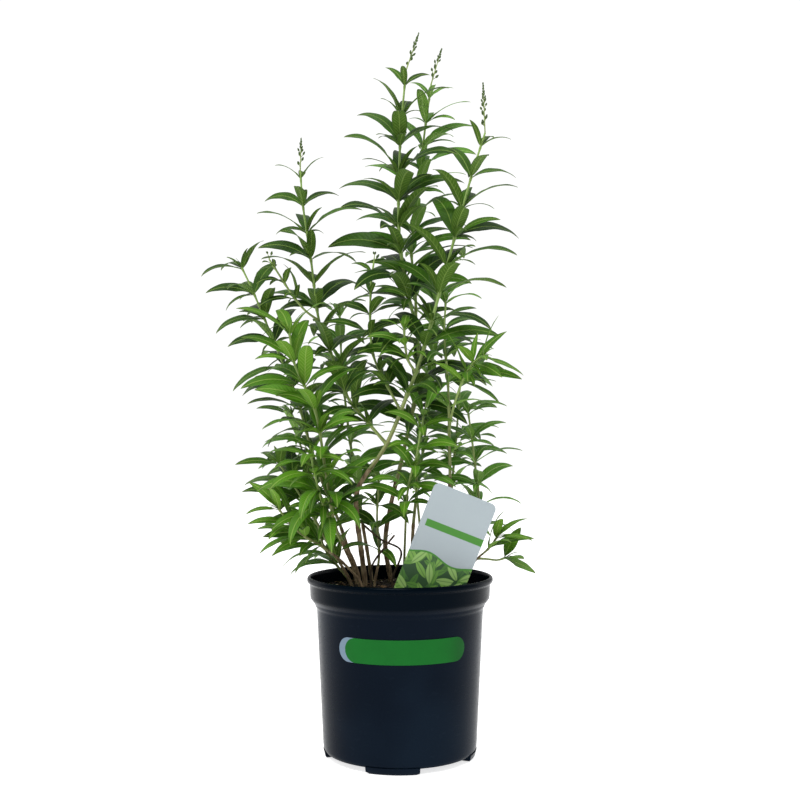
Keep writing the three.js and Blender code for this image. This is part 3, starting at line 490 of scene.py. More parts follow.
class Shape:
    """A mesh in the making, in millimetres: its points with their marks, and its faces."""

    def __init__(self):
        self.points, self.quads, self.tris, self.marks = [], [], [], {}
        self.count = 0

    def add(self, points, **marks):
        """Adds points, with three numbers for each of them under each mark. Returns the first's index."""
        points = np.asarray(points, float).reshape(-1, 3)
        first, self.count = self.count, self.count + len(points)
        self.points.append(points)
        for name, values in marks.items():
            values = np.asarray(values, float).reshape(-1, 3)
            self.marks.setdefault(name, []).append(np.broadcast_to(values, points.shape))
        return first

    def loft(self, rings, **marks):
        """A closed body through rings that run anticlockwise round the way ahead. Returns the shape."""
        rings = np.asarray(rings, float)
        count, around, _ = rings.shape
        marks = {name: np.broadcast_to(values, rings.shape) for name, values in marks.items()}
        first = self.add(rings, **marks)
        j = np.arange(around)
        after = (j + 1) % around
        low = first + np.arange(count - 1)[:, None] * around
        high = low + around
        self.quads.append(np.stack([low + j, low + after, high + after, high + j], axis=-1).reshape(-1, 4))
        for row, turn in ((0, -1), (count - 1, 1)):
            own = {name: values[row].mean(axis=0) for name, values in marks.items()}
            centre = self.add(rings[row].mean(axis=0), **own)
            start = first + row * around
            self.tris.append(three(centre, start + j, start + (j + turn) % around))
        return self


def make_piece(name, shape, material, slot, nodes=(), sharp=None):
    """The finished object, riding on the model, in place of the named nodes."""
    mesh = bpy.data.meshes.new(name)
    faces = [*np.vstack(shape.quads).tolist(), *np.vstack(shape.tris).tolist()]
    mesh.from_pydata(np.vstack(shape.points) * MM, [], faces)
    mesh.shade_smooth()
    if sharp:
        mesh.set_sharp_from_angle(angle=math.radians(sharp))
    for mark, values in shape.marks.items():
        attribute = mesh.attributes.new(mark, "FLOAT_VECTOR", "POINT")
        attribute.data.foreach_set("vector", np.vstack(values).ravel())
    mesh.materials.append(material)
    piece = add_object(name, mesh)
    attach(piece, "root")
    if nodes:
        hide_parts(*nodes)
    return piece


def add_object(name, data, place=(0, 0, 0)):
    item = bpy.data.objects.new(name, data)
    item.location = place
    bpy.context.scene.collection.objects.link(item)
    return item


# ---------------------------------------------------------------- materials

# Each material's colours, as seen on a screen, 0 to 255.
TINTS = {
    "leaf_dark": ((27, 57, 5), (55, 94, 13), (69, 100, 29), (124, 152, 70)),
    "leaf_bright": ((42, 87, 7), (72, 122, 14), (88, 130, 32), (138, 168, 76)),
    "leaf_grey": ((53, 98, 25), (92, 142, 45), (106, 146, 58), (152, 182, 106)),
    "any_leaf": ((92, 134, 34), (44, 48, 22)),
    "stem": ((122, 118, 76), (120, 152, 68), (90, 110, 52), (178, 196, 134)),
    "bark": ((86, 70, 52), (138, 119, 92), (168, 152, 122)),
    "dry_wood": ((40, 32, 25), (66, 54, 40), (96, 82, 64)),
    "bud": ((76, 100, 42), (60, 76, 44), (42, 58, 28), (130, 146, 86)),
    "soil": ((20, 16, 15), (54, 43, 36), (88, 66, 48), (120, 96, 70), (176, 164, 146)),
    # The pot's last colour is painted shade for the band under the rim.
    "pot_plastic": ((6, 13, 23), (12, 22, 33), (28, 38, 50), (0, 5, 12)),
    "band_plate": ((104, 122, 138), (90, 108, 124)),
    "band_bar": ((17, 90, 31), (11, 60, 22)),
    "label_card": ((150, 160, 164), (141, 150, 156), (60, 118, 40), (42, 72, 40)),
    "card_lenses": (
        (58, 96, 46), (66, 108, 44), (78, 122, 50), (92, 136, 58), (108, 150, 68), (130, 166, 92)),
    "floor": ((250, 250, 250), (246, 246, 247)),
}
VEINS = Sizes(pairs=15.0, lead=1.9)
PRINT = Sizes(border=70.0, wave=3.0, wave_turn=0.12, stripe=40.5, stripe_half=3.5, stripe_from=-27.5)


def tints(name):
    """A material's colours, as the linear colours that shaders take."""
    def linear(value):
        value /= 255
        return value / 12.92 if value < 0.04045 else ((value + 0.055) / 1.055) ** 2.4
    return [(*map(linear, colour), 1.0) for colour in TINTS[name]]


class Value:
    """A node's output, with the arithmetic that shaders need."""

    def __init__(self, shader, socket):
        self.shader, self.socket = shader, socket

    def __add__(self, other):
        return self.shader.math("ADD", self, other)

    def __sub__(self, other):
        return self.shader.math("SUBTRACT", self, other)

    def __rsub__(self, other):
        return self.shader.math("SUBTRACT", other, self)

    def __mul__(self, other):
        return self.shader.math("MULTIPLY", self, other)

    def __truediv__(self, other):
        return self.shader.math("DIVIDE", self, other)

    def __abs__(self):
        return self.shader.math("ABSOLUTE", self)


class Shader:
    """A material's nodes. A socket is fed with a number, a colour or another node's output."""

    def __init__(self, name, **fixed):
        self.material = bpy.data.materials.new(name)
        self.material.use_nodes = True
        self.tree = self.material.node_tree
        self.surface = self.tree.nodes["Principled BSDF"]
        for socket, value in fixed.items():
            title = socket.replace("_", " ").title().replace("Ior", "IOR")
            self.surface.inputs[title].default_value = value

    def feed(self, socket, value):
        if isinstance(value, Value):
            self.tree.links.new(value.socket, socket)
        else:
            socket.default_value = value

    def node(self, kind, inputs, output=0, **settings):
        node = self.tree.nodes.new("ShaderNode" + kind)
        for key, value in settings.items():
            setattr(node, key, value)
        for socket, value in inputs.items():
            self.feed(node.inputs[socket], value)
        return Value(self, node.outputs[output])

    def math(self, operation, *values):
        return self.node("Math", dict(enumerate(values)), operation=operation)

    def vector(self, operation, *values):
        return self.node("VectorMath", dict(enumerate(values)), operation=operation)

    def mix(self, share, first, second):
        return self.node("Mix", {0: share, 6: first, 7: second}, 2, data_type="RGBA")

    def ease(self, value, low, high, start=0.0, end=1.0):
        """From start to end as the value goes from low to high, smoothly."""
        return self.node("MapRange", {0: value, 1: low, 2: high, 3: start, 4: end},
                         interpolation_type="SMOOTHSTEP")

    def noise(self, scale, detail=2.0, stretch=None, roughness=0.5):
        place = self.vector("MULTIPLY", self.here(), stretch) if stretch else self.here()
        inputs = {"Scale": scale, "Detail": detail, "Roughness": roughness, "Vector": place}
        return self.node("TexNoise", inputs)

    def here(self):
        return self.node("TexCoord", {}, "Object")

    def split(self, vector):
        """The three numbers of a vector."""
        return [Value(self, socket) for socket in self.node("SeparateXYZ", {0: vector}).socket.node.outputs]

    def mark(self, name):
        """The three numbers of a mark on the mesh's points."""
        return self.split(self.node("Attribute", {}, "Vector", attribute_name=name))

    def rough(self, value):
        self.feed(self.surface.inputs["Roughness"], value)

    def made(self, colour, height=None, distance=0, strength=1.0):
        """The material, in its colour, with bumps of a height and a distance in millimetres."""
        self.feed(self.surface.inputs["Base Color"], colour)
        if height:
            inputs = {"Height": height, "Distance": distance * MM, "Strength": strength}
            self.feed(self.surface.inputs["Normal"], self.node("Bump", inputs))
        return self.material


def leaf_material(name):
    """A leaf: paler midrib, slanting side veins with painted shade in them above and the blade raised between
    them, a matt underside, and painted fill light on lower leaves.
    """
    s = Shader(name, specular_ior_level=0.2)
    (deep, light, under, rib), (young, dry) = tints(name), tints("any_leaf")
    share, across, side = s.mark("blade")
    edge, chance, youth = s.mark("leafy")
    wide = abs(edge)
    slant = share * VEINS.pairs - wide * VEINS.lead
    apart = s.math("PINGPONG", slant + s.ease(edge, -0.01, 0.01, 0.0, 0.45), 0.5)
    vein = s.ease(apart, 0.03, 0.13, 1.0, 0.0) * s.ease(wide, 0.55, 0.98, 1.0, 0.0)
    midrib = s.ease(abs(across), 0.26, 0.7, 1.0, 0.0)
    # Leaves lower down are painted lighter: painted fill light in place of the light that the leaves above
    # keep off.
    painted_fill_low = s.ease(s.split(s.here())[2], 0.48, 0.22, 0.0, 0.4)
    body = s.mix(s.ease(chance + s.noise(55.0, 3.0), 0.55, 1.5) + painted_fill_low, deep, light)
    body = s.mix(youth * 0.75, body, young)
    body = s.mix(s.ease(side, 0.2, -0.2), body, s.mix(youth * 0.5, under, young))
    body = s.mix(s.ease(share, 0.8, 1.0, 0.0, 0.5), body, dry)
    # On the upper face the veins are painted dark, painted shade in their grooves; on the underside they stay
    # pale ribs.
    veined_with_painted_shade = s.mix(vein * 0.5, body, s.mix(s.ease(side, -0.2, 0.2), rib, deep))
    s.rough(s.ease(side, -0.2, 0.2, 0.66, 0.46))
    raised = s.ease(apart, 0.0, 0.35) * s.ease(wide, 1.0, 0.75) - midrib * 0.9
    return s.made(s.mix(midrib * 0.7, veined_with_painted_shade, rib), raised * side, 0.35, 0.7)


def stem_material():
    """A green stem: pale ribs, and browner on the oldest stretches."""
    s = Shader("stem", specular_ior_level=0.3, roughness=0.55)
    old, young, shade, pale = tints("stem")
    youth, rib, knot = s.mark("stem")
    body = s.mix(youth, old, young)
    body = s.mix(s.ease(s.noise(140.0, 3.0), 0.45, 0.7) * 0.35, body, shade)
    body = s.mix(s.ease(rib, -0.6, 0.9) * 0.35, body, pale)
    return s.made(s.mix(knot * 0.4, body, shade), s.noise(700.0, stretch=(1, 1, 0.2)), 0.2, 0.5)


def bark_material(name):
    """Bark in long strips, with darker cracks and paler patches."""
    s = Shader(name, specular_ior_level=0.2, roughness=0.85)
    crack, bark, pale = tints(name)
    knot = s.mark("stem")[2]
    streaks = s.noise(420.0, 4.0, (1, 1, 0.08), 0.6)
    body = s.mix(s.ease(streaks, 0.35, 0.62), crack, bark)
    body = s.mix(s.ease(s.noise(70.0, 3.0), 0.48, 0.66) * 0.55, body, pale)
    return s.made(s.mix(knot * 0.5, body, crack), streaks, 0.5, 0.8)


def bud_material():
    """Closed buds: dull green, greyer at the tip, on a paler stalk."""
    s = Shader("bud", specular_ior_level=0.25, roughness=0.6)
    foot, tip, shade, stalk = tints("bud")
    share, chance, kind = s.mark("bud")
    body = s.mix(s.ease(share + chance * 0.4, 0.1, 1.2), foot, tip)
    body = s.mix(s.ease(s.noise(600.0), 0.4, 0.65) * 0.4, body, shade)
    return s.made(s.mix(kind, body, stalk), s.noise(1100.0), 0.2, 0.6)


def soil_material():
    """Damp dark mix: near black in the hollows, brown on the crumbs."""
    s = Shader("soil", specular_ior_level=0.15, roughness=0.95)
    dark, brown, bark, fibre, pale = tints("soil")
    tint = s.mark("bit")[0]
    coarse = s.noise(260.0, 5.0, roughness=0.7)
    body = s.mix(s.ease(coarse, 0.38, 0.66), dark, brown)
    body = s.mix(s.ease(tint, 0.2, 0.6), body, s.mix(coarse, bark, fibre))
    return s.made(s.mix(s.ease(tint, 0.75, 0.95), body, pale), s.noise(900.0, 4.0, roughness=0.7), 1.0, 0.8)


def pot_material():
    """Blue-black moulded plastic: satin, slightly scuffed, and darkened on the band under the rim by painted
    shade.
    """
    s = Shader("pot_plastic", specular_ior_level=0.035, specular_tint=(0.7, 0.82, 1.0, 1.0))
    deep, light, scuff, band_painted_shade = tints("pot_plastic")
    scuffs = s.noise(90.0, 5.0, (1, 1, 2.2), 0.65)
    body = s.mix(s.ease(s.noise(9.0), 0.35, 0.7), deep, light)
    body = s.mix(s.ease(scuffs, 0.6, 0.8) * 0.25, body, scuff)
    s.rough(s.ease(scuffs, 0.3, 0.75, 0.2, 0.3))
    # Above the shoulder the band is painted darker: painted shade under the rim and the leaves.
    body = s.mix(s.ease(s.split(s.here())[2], 0.157, 0.162), body, band_painted_shade)
    return s.made(body, s.noise(1500.0), 0.03, 0.25)


def printed_material(name):
    """A printed film, plain apart from slight unevenness and a darker right-hand end."""
    s = Shader(name, specular_ior_level=0.06, roughness=0.4)
    colour, shade = tints(name)
    uneven = s.ease(s.noise(40.0, 3.0), 0.3, 0.75, 0.0, 0.18)
    darker = uneven + s.ease(s.mark("strip")[0], 0.8, 1.0, 0.0, 0.45)
    return s.made(s.mix(darker, colour, shade), s.noise(300.0), 0.03, 0.4)


def strewn_lenses(s, across, up, size, layer):
    """Lens shapes, strewn and turned at random, and the line down the middle of each."""
    point = s.node("CombineXYZ", {0: across / size, 1: up / size + layer})
    centre = s.node("TexVoronoi", {"Vector": point, "Scale": 1.0, "Randomness": 0.8}, "Position",
                    voronoi_dimensions="2D")
    chance = Value(s, centre.socket.node.outputs["Color"])
    turn = s.node("SeparateColor", {0: chance}) * (2 * math.pi)
    turned = s.node("VectorRotate", {"Vector": s.vector("SUBTRACT", point, centre), "Angle": turn},
                    rotation_type="Z_AXIS")
    beside, above, _ = s.split(turned)
    off = abs(beside)
    half = 0.17 - above * above * 0.62
    return s.ease(half - off, 0.0, 0.03), s.ease(off, 0.01, 0.035, 1.0, 0.0)


def card_material():
    """The plant label: a pale field, a green stripe, and strewn lens shapes under a wavy border."""
    s = Shader("label_card", specular_ior_level=0.3, roughness=0.45)
    pale, shade, green, ground = tints("label_card")
    across, up, front = s.mark("card")
    down = LABEL.card_length - up
    border = s.math("SINE", across * PRINT.wave_turn) * PRINT.wave + PRINT.border
    below = down - border
    leafy = ground
    for layer, colour in enumerate(tints("card_lenses")):
        lens, rib = strewn_lenses(s, across, up, 17 + layer, 5.3 * layer)
        leafy = s.mix(lens, leafy, s.mix(rib * 0.5, colour, ground))
    half, start = PRINT.stripe_half, PRINT.stripe_from
    stripe = s.ease(abs(down - PRINT.stripe), half, half + 0.3, 1.0, 0.0)
    stripe = stripe * s.ease(across, start, start + 0.5)
    field = s.mix(s.ease(s.noise(30.0, 3.0), 0.3, 0.8, 0.0, 0.3), pale, shade)
    printed = s.mix(s.ease(below, -0.2, 0.2), s.mix(stripe, field, green), green)
    printed = s.mix(s.ease(below, 1.6, 2.0), printed, leafy)
    return s.made(s.mix(front, pale, printed), s.noise(400.0), 0.02, 0.3)


def floor_material():
    white, shade = tints("floor")
    s = Shader("floor", specular_ior_level=0.0, roughness=1.0, emission_strength=0.74, emission_color=white)
    return s.made(s.mix(s.ease(s.noise(2.0), 0.3, 0.7), white, shade))


# ---------------------------------------------------------------- fine leaves

# Points across a blade: along its upper face, and back along its underside.
UPPER_LOOP = -1, -0.9, -0.62, -0.3, -0.07, 0, 0.07, 0.3, 0.62, 0.9, 1
LOWER_LOOP = 0.9, 0.45, 0.08, 0, -0.08, -0.45, -0.9
BLADE = Sizes(
    usual_length=60, stations=24, small_stations=14, tip_stations=12, closer=0.06,
    skin=0.34, keel=0.55, keel_width=0.1, petiole=0.55, end=0.02,
    least_fold=0.1, fold_span=0.16, camber=0.12, droop=0.05,
    wave=0.16, turns=17, turns_span=9, turns_start=6,
    opens_at=0.04, opens_over=0.12,
)
# How young a leaf of each tone is on old wood, and what a growing shoot's top adds.
YOUTH = {"bright": (0.25, 0.5), "dark": (0.0, 0.15), "grey": (0.05, 0.25)}
SMALL_YOUTH, TIP_YOUTH = 0.15, 0.9
# Of each leaf round a growing tip: its length beside a full leaf, and its rise in degrees.
TIP_LEAVES = (0.34, 62), (0.34, 66), (0.3, 58), (0.2, 76), (0.18, 80)


def edge_wave(shares, size, draw):
    """How far one edge of a blade waves up at shares of its length."""
    turns = BLADE.turns + BLADE.turns_span * draw()
    return BLADE.wave * size * np.sin(shares * turns + BLADE.turns_start * draw())


def add_leaf(shape, leaf, youth, draw, stations):
    """One leaf, folded along its midrib, with a wavy margin and a round stalk."""
    even = np.linspace(0, 1, stations)
    blade = even - BLADE.closer * np.sin(2 * np.pi * even)
    shares = np.array([0, LEAF.petiole / 2, *(LEAF.petiole + (1 - LEAF.petiole) * blade)])
    place, side, top = (values[:, None, :] for values in leaf_frame(leaf, shares))
    width, shares = half_width(leaf, shares)[:, None], shares[:, None]
    size = leaf["length"] / BLADE.usual_length
    stalk = BLADE.petiole * (0.5 + 0.5 * size)
    half = np.maximum(width, stalk * (1 - shares ** 3))
    half[-1] = BLADE.end
    u = np.array([*UPPER_LOOP, *LOWER_LOOP])
    under = np.arange(len(u)) >= len(UPPER_LOOP)
    fold = BLADE.least_fold + BLADE.fold_span * draw()
    wave, other = (edge_wave(shares, size, draw) for _ in range(2))
    opened = np.clip((shares - BLADE.opens_at) / BLADE.opens_over, 0, 1)
    keel = BLADE.keel * size * np.exp(-(u / BLADE.keel_width) ** 2) * (1 - shares) * opened
    lift = half * (fold * np.abs(u) - BLADE.camber * u * u)
    lift = lift + np.where(u > 0, wave, other) * u * u * np.minimum(1, half / 3)
    lift = lift - under * (BLADE.skin * (1 - np.abs(u) ** 6) + keel)
    round_stalk = 2 * stalk * np.sqrt(np.maximum(0, 1 - u * u)) * (0.5 - under)
    lift = lift * opened + round_stalk * (1 - opened) - BLADE.droop * leaf["length"] * shares ** 4
    shape.loft(
        place + side * (u * half)[..., None] + top * lift[..., None],
        blade=three(shares, u * half, 1 - 2 * under), leafy=three(u, draw(), youth),
    )


def youth_of(stem, leaf):
    """How young a leaf is, from 0 on old wood to 1 at the tip of a growing shoot."""
    fresh, top = YOUTH[stem["tone"]]
    return fresh + top * math.exp(-leaf["whorl"] / 1.3)


def tip_leaves(stem, draw):
    """The smallest leaves, still upright, round the growing tip of a stem."""
    place, ahead = along(stem["chain"], stem["chain"]["total"])
    leaves = []
    for number, (share, rise) in enumerate(TIP_LEAVES):
        azimuth = math.radians(120 * number + 35 * (number // 3) + 20 * draw())
        start = leaving(ahead, azimuth, math.radians(rise))
        leaves.append({
            "place": place - ahead * 0.6, "heading": math.atan2(start[1], start[0]),
            "steep": math.asin(start[2]), "bend": math.radians(20 + 20 * draw()),
            "length": stem["leaf"] * share * (0.85 + 0.3 * draw()), "aspect": LEAF.aspect,
            "roll": math.radians(20 * (draw() - 0.5)), "twist": math.radians(20 * (draw() - 0.5)),
            "sweep": 0.1 * (draw() - 0.5),
        })
    return leaves


# ---------------------------------------------------------------- fine stems and spikes

TUBE = Sizes(
    sides=12, step=3.2, knot_reach=2.4, flare=0.5, flare_reach=4,
    greening=190, never_woody=-80,
)
GREEN_FORM = {"ribbed": 0.07, "swelling": 0.42}
CANE_FORM = {"ribbed": 0.04, "swelling": 0.16}
CANE = Sizes(first_knot=12, knots_apart=24, overlap=0.5, rough=0.08, grain=0.3)
SPRIG = Sizes(
    tier=5.6, bud=(4.8, 1.5), stalk=(4.4, 0.34), least_stalk=0.6, axis=0.75,
    crowd=0.5, sparse=0.6, first=0.12, closer=0.55, sunk=2,
)
# The share of the length and of the width at each ring of a bud and of a spike's axis.
BUD_RINGS = (0, 0.35), (0.08, 0.62), (0.25, 0.92), (0.45, 1), (0.65, 0.82), (0.85, 0.5), (1, 0.12)
AXIS_RINGS = (0, 1), (0.25, 0.85), (0.5, 0.7), (0.75, 0.5), (0.97, 0.3)


def rough(rings, scale, seed=0.0):
    """Noise at each point of some rings."""
    return np.array([[[noise.noise(Vector(point * scale + seed))] for point in ring] for ring in rings])


def tube_rings(stem, start, end, knots, ribbed, swelling):
    """Rings round a stem's curve, with how green it is, the rib and the knot at each point."""
    angles = circle(TUBE.sides)
    rib = np.cos(3 * angles)
    rings, marks = [], []
    for length in np.linspace(start, end, max(2, int((end - start) / TUBE.step) + 1)):
        place, ahead = along(stem["chain"], length)
        near = max((math.exp(-((length - knot) / TUBE.knot_reach) ** 2) for knot in knots), default=0)
        radius = stem_radius(stem, length) * (1 + swelling * near + ribbed * rib)
        if "parent" in stem:
            radius = radius + TUBE.flare * math.exp(-length / TUBE.flare_reach)
        rings.append(hoop(place, ahead, angles, radius[:, None]))
        green = np.clip((length - stem.get("woody", TUBE.never_woody)) / TUBE.greening, 0, 1)
        marks.append(three(green, rib, near))
    return np.array(rings), np.array(marks)


def stem_shape(stem):
    start = 0 if "parent" in stem else stem["woody"]
    rings, marks = tube_rings(stem, start, stem["chain"]["total"], stem["whorls"], **GREEN_FORM)
    return Shape().loft(rings, stem=marks)


def cane_shape(stem):
    knots = np.arange(SOIL.depth + CANE.first_knot, stem["woody"], CANE.knots_apart)
    rings, marks = tube_rings(stem, 0, stem["woody"] + CANE.overlap, knots, **CANE_FORM)
    middles = rings.mean(axis=1, keepdims=True)
    out = 1 + CANE.rough * rough(rings, CANE.grain)
    return Shape().loft(middles + (rings - middles) * out, stem=marks)


def add_bud(shape, start, way, length, radius, chance):
    """A closed bud, fattest below its middle."""
    rings = [hoop(start + way * share * length, way, circle(8), radius * wide, (0.3, 1, 0.1))
             for share, wide in BUD_RINGS]
    shares = np.array(BUD_RINGS)[:, :1]
    shape.loft(rings, bud=three(shares, chance, np.zeros(8)))


def add_rod(shape, points, radii, sides=7):
    """A thin stalk through points."""
    ways = np.gradient(np.array(points), axis=0)
    rings = [hoop(point, unit(way), circle(sides), radius, (0.1, 1, 0.05))
             for point, way, radius in zip(points, ways, radii)]
    shape.loft(rings, bud=[0.2, 0.5, 1])


def add_tier(shape, root, way, share, tier, draw):
    """Three buds round the axis, some of them missing on its lower half."""
    crowd = max(0, (share - SPRIG.crowd) / (1 - SPRIG.crowd))
    size = 1 - SPRIG.closer * share
    (stalk_length, stalk_radius), (bud_length, bud_radius) = SPRIG.stalk, SPRIG.bud
    for index in range(3):
        outwards = pointed(way, math.radians(120 * index + 60 * tier + 24 * (draw() - 0.5)))
        spread = (0.9 - 0.45 * share) * (1 - 0.75 * crowd) + 0.12 * draw()
        lean = unit(outwards * spread + way)
        stalk = stalk_length * size * (1 - crowd) * (0.8 + 0.4 * draw())
        if share < SPRIG.crowd and draw() > SPRIG.sparse:
            continue
        if stalk > SPRIG.least_stalk:
            places = [root, root + lean * stalk * 0.5, root + lean * (stalk + 0.4)]
            add_rod(shape, places, [stalk_radius] * 3, 5)
        long = bud_length * size * (0.9 + 0.3 * draw())
        upright = unit(lean + way * 0.4 * (1 - crowd))
        add_bud(shape, root + lean * stalk, upright, long, bud_radius * size, draw())


def spike_shape(stem, draw):
    """Stalked buds in threes on the lower half, then smaller ones close against the axis."""
    shape = Shape()
    place, ahead = along(stem["chain"], stem["chain"]["total"])
    reach = np.array(stem["spike"], float)
    length, way = np.linalg.norm(reach), unit(reach)
    radii = [SPRIG.axis * wide for wide in (1.1, *(wide for _, wide in AXIS_RINGS))]
    add_rod(shape, [place - ahead * SPRIG.sunk, *(place + reach * share for share, _ in AXIS_RINGS)], radii)
    at, tier = SPRIG.first * length, 0
    while at < length:
        share = at / length
        add_tier(shape, place + way * at, way, share, tier, draw)
        at += SPRIG.tier * (1 - SPRIG.closer * share)
        tier += 1
    add_bud(shape, place + reach * 0.9, way, 0.1 * length + 1.5, SPRIG.bud[1] * 0.5, draw())
    return shape


# ---------------------------------------------------------------- soil

GROUND = Sizes(
    radius=89.9, rings=70, around=220, innermost=0.0004, lumps=1.3, lump_size=7,
    sinks_from=0.9, sink=1.6,
)
# Of each kind of bit: how many, its sizes that vary and those that don't, and its tint, with the
# shares of two draws in it. They are crumbs, chips of bark, pale grains and fibres.
BITS = (
    (620, (1.1, 0.9, 0.8), (0, 0, 0), (0, 0.1, 0)),
    (90, (3.2, 1.5, 0.7), (0, 0, 0), (0.4, 0, 0.25)),
    (26, (1.0, 0.8, 0.7), (0, 0, 0), (1.0, 0, 0)),
    (34, (7.5, 0, 0), (0, 0.5, 0.45), (0.62, 0, 0)),
)


def soil_height(x, y):
    """The model's relief, with lumps on it, settled lower against the wall."""
    relief = SOIL.relief * math.sin(x / 13 + 1) * math.cos(y / 11 + x / 29)
    size, edge = GROUND.lump_size, math.hypot(x, y) / GROUND.radius
    lumps = GROUND.lumps * noise.fractal(Vector((x / size, y / size, 3)), 0.9, 2.1, 4)
    sink = max(0, edge - GROUND.sinks_from) / (1 - GROUND.sinks_from)
    return SOIL.top + relief + lumps - GROUND.sink * sink


def soil_shape():
    wall, floor = POT.wall + SOIL.clearance, POT.foot_height + POT.wall + SOIL.clearance
    (low_r, low_z), (top_r, top_z) = POT.body_low, POT.body_top
    sides = [(POT.base_radius - wall - 1, floor), (low_r - wall, low_z + wall / 2), (top_r - wall, top_z)]
    angles = circle(GROUND.around)
    rings = [round_axis(r, angles, z) for r, z in sides]
    shares = np.linspace(GROUND.innermost, 1, GROUND.rings)[::-1]
    for radius in GROUND.radius * np.sqrt(shares):
        rings.append([(x, y, soil_height(x, y)) for x, y, _ in round_axis(radius, angles, 0)])
    return Shape().loft(rings, bit=[0, 0, 0])


def add_bit(shape, place, sizes, turn, tint, draw):
    """A lump of mix: a rough ball, drawn out and turned."""
    seed = 40 * np.array([draw(), draw(), draw()])
    tilt = 0.5 * (draw() - 0.5)
    polar = np.linspace(0.25, math.pi - 0.25, 5)[:, None]
    balls = round_axis(np.sin(polar), circle(7), -np.cos(polar))
    x, y, z = np.moveaxis(balls * (1 + 0.45 * rough(balls, 1.5, seed)) * sizes, -1, 0)
    cos, sin = math.cos(turn), math.sin(turn)
    turned = three(x * cos - y * sin, x * sin + y * cos, z + tilt * x)
    shape.loft(place + turned, bit=[tint, draw(), 0])


def add_bits(shape, draw):
    """The bits, strewn over the soil."""
    for count, varying, fixed, (tint, first, second) in BITS:
        for _ in range(count):
            radius, angle = (GROUND.radius - 4) * math.sqrt(draw()), 2 * math.pi * draw()
            x, y = radius * math.cos(angle), radius * math.sin(angle)
            sizes = np.array(varying) * (0.6 + 1.1 * draw() ** 2) + fixed
            own_tint = tint + first * draw() + second * draw()
            place = (x, y, soil_height(x, y) + 0.45 * sizes[2])
            add_bit(shape, place, sizes, 2 * math.pi * draw(), own_tint, draw)


# ---------------------------------------------------------------- pot, band and label

AROUND = Sizes(pot=220, hub=64, drain=28)


def rounded(corners, steps=5):
    """A profile with each corner [r, z, radius] drawn as a curve that starts that far from it."""
    points = []
    for before, corner, after in zip([corners[-1], *corners], corners, [*corners[1:], corners[0]]):
        here = np.array(corner[:2], float)
        ease = corner[2] if len(corner) > 2 else 0
        if not ease:
            points.append(here)
            continue
        start, end = (here + unit(np.array(other[:2], float) - here) * ease for other in (before, after))
        for t in np.linspace(0, 1, steps):
            points.append(start * (1 - t) ** 2 + here * 2 * t * (1 - t) + end * t * t)
    return points


def lathe(shape, profile, around):
    """A body of revolution whose profile starts and ends near the axis, outer side first."""
    profile = np.array(profile)
    shape.loft(round_axis(profile[:, :1], circle(around), profile[:, 1:]))


def pot_profile():
    wall, floor = POT.wall, POT.foot_height
    (low_r, low_z), (top_r, top_z) = POT.body_low, POT.body_top
    (band_r, band_z), (band_top_r, band_top_z) = POT.band_low, POT.band_top
    (rim_r, rim_z), rim_top = POT.rim, POT.rim[1] + POT.rim_height
    return rounded([
        (0.5, floor), (POT.base_radius - 1, floor, 1), (low_r - 0.4, low_z - 0.5, 2.5),
        (low_r + 0.1, low_z + 6, 1), (top_r - 0.1, top_z - 3, 1.5), (top_r + 1.4, top_z - 0.6, 1.2),
        (top_r + 2.2, top_z + 2.2, 0.9), (band_r - 1.6, band_z - 2.5, 2), (band_r, band_z, 2),
        (band_top_r - 0.2, band_top_z - 0.6, 1.2), (rim_r, rim_z, 1), (rim_r + 0.2, rim_top - 2.2, 1.4),
        (rim_r - 1.3, rim_top, 1.2), (rim_r - 3, rim_top - 0.3, 1), (band_top_r - wall, rim_top - 3, 1.5),
        (band_r - wall, band_z + wall / 2, 1), (top_r - wall, top_z + wall / 2, 1),
        (low_r - wall, low_z + wall / 2, 2), (POT.base_radius - wall, floor + wall, 1), (0.5, floor + wall),
    ])


def add_foot(shape, middle):
    """A low pad under the edge of the floor, with rounded lower edges."""
    inner, outer = POT.foot_inner, POT.base_radius - 0.4
    top = POT.foot_height + POT.wall / 2
    radii, heights = np.array([
        (inner, top), (inner, 1.2), (inner + 1, 0), (outer - 1.6, 0), (outer, 1.6), (outer + 1.2, top),
    ]).T
    shares = np.linspace(-1, 1, 19)[:, None]
    ends = np.maximum(0, np.abs(shares) - 0.94) / 0.06
    angles = np.radians(middle + POT.foot_span / 2 * shares)
    shape.loft(round_axis(radii, angles, heights + 1.2 * ends * (heights < 1)))


def drilled(piece):
    """The pot with its drain holes cut through the floor."""
    cutters = Shape()
    for k in range(POT.feet):
        angle = math.radians(POT.first_foot + (360 / POT.feet) * (k + 0.5))
        middle = round_axis(POT.drain_ring, angle, POT.foot_height)
        cutters.loft([middle + round_axis(POT.drain_radius, circle(AROUND.drain), z) for z in (-2, 4)])
    cutter = make_piece("drain_cutter", cutters, piece.data.materials[0], "pot_plastic")
    modifier = piece.modifiers.new("drains", "BOOLEAN")
    modifier.operation, modifier.solver, modifier.object = "DIFFERENCE", "EXACT", cutter
    graph = bpy.context.evaluated_depsgraph_get()
    mesh = bpy.data.meshes.new_from_object(piece.evaluated_get(graph))
    piece.modifiers.clear()
    piece.data = mesh
    bpy.data.objects.remove(cutter)


def pot_shape():
    shape = Shape()
    lathe(shape, pot_profile(), AROUND.pot)
    for k in range(POT.feet):
        add_foot(shape, POT.first_foot + (360 / POT.feet) * k)
    hub, hub_top = POT.hub_radius, POT.foot_height + 0.6
    lathe(shape, rounded([(0.5, 0), (hub, 0, 1), (hub, hub_top), (0.5, hub_top)]), AROUND.hub)
    return shape


def wall_radius(z):
    (low_r, low_z), (top_r, top_z) = POT.body_low, POT.body_top
    return low_r + (top_r - low_r) * (z - low_z) / (top_z - low_z)


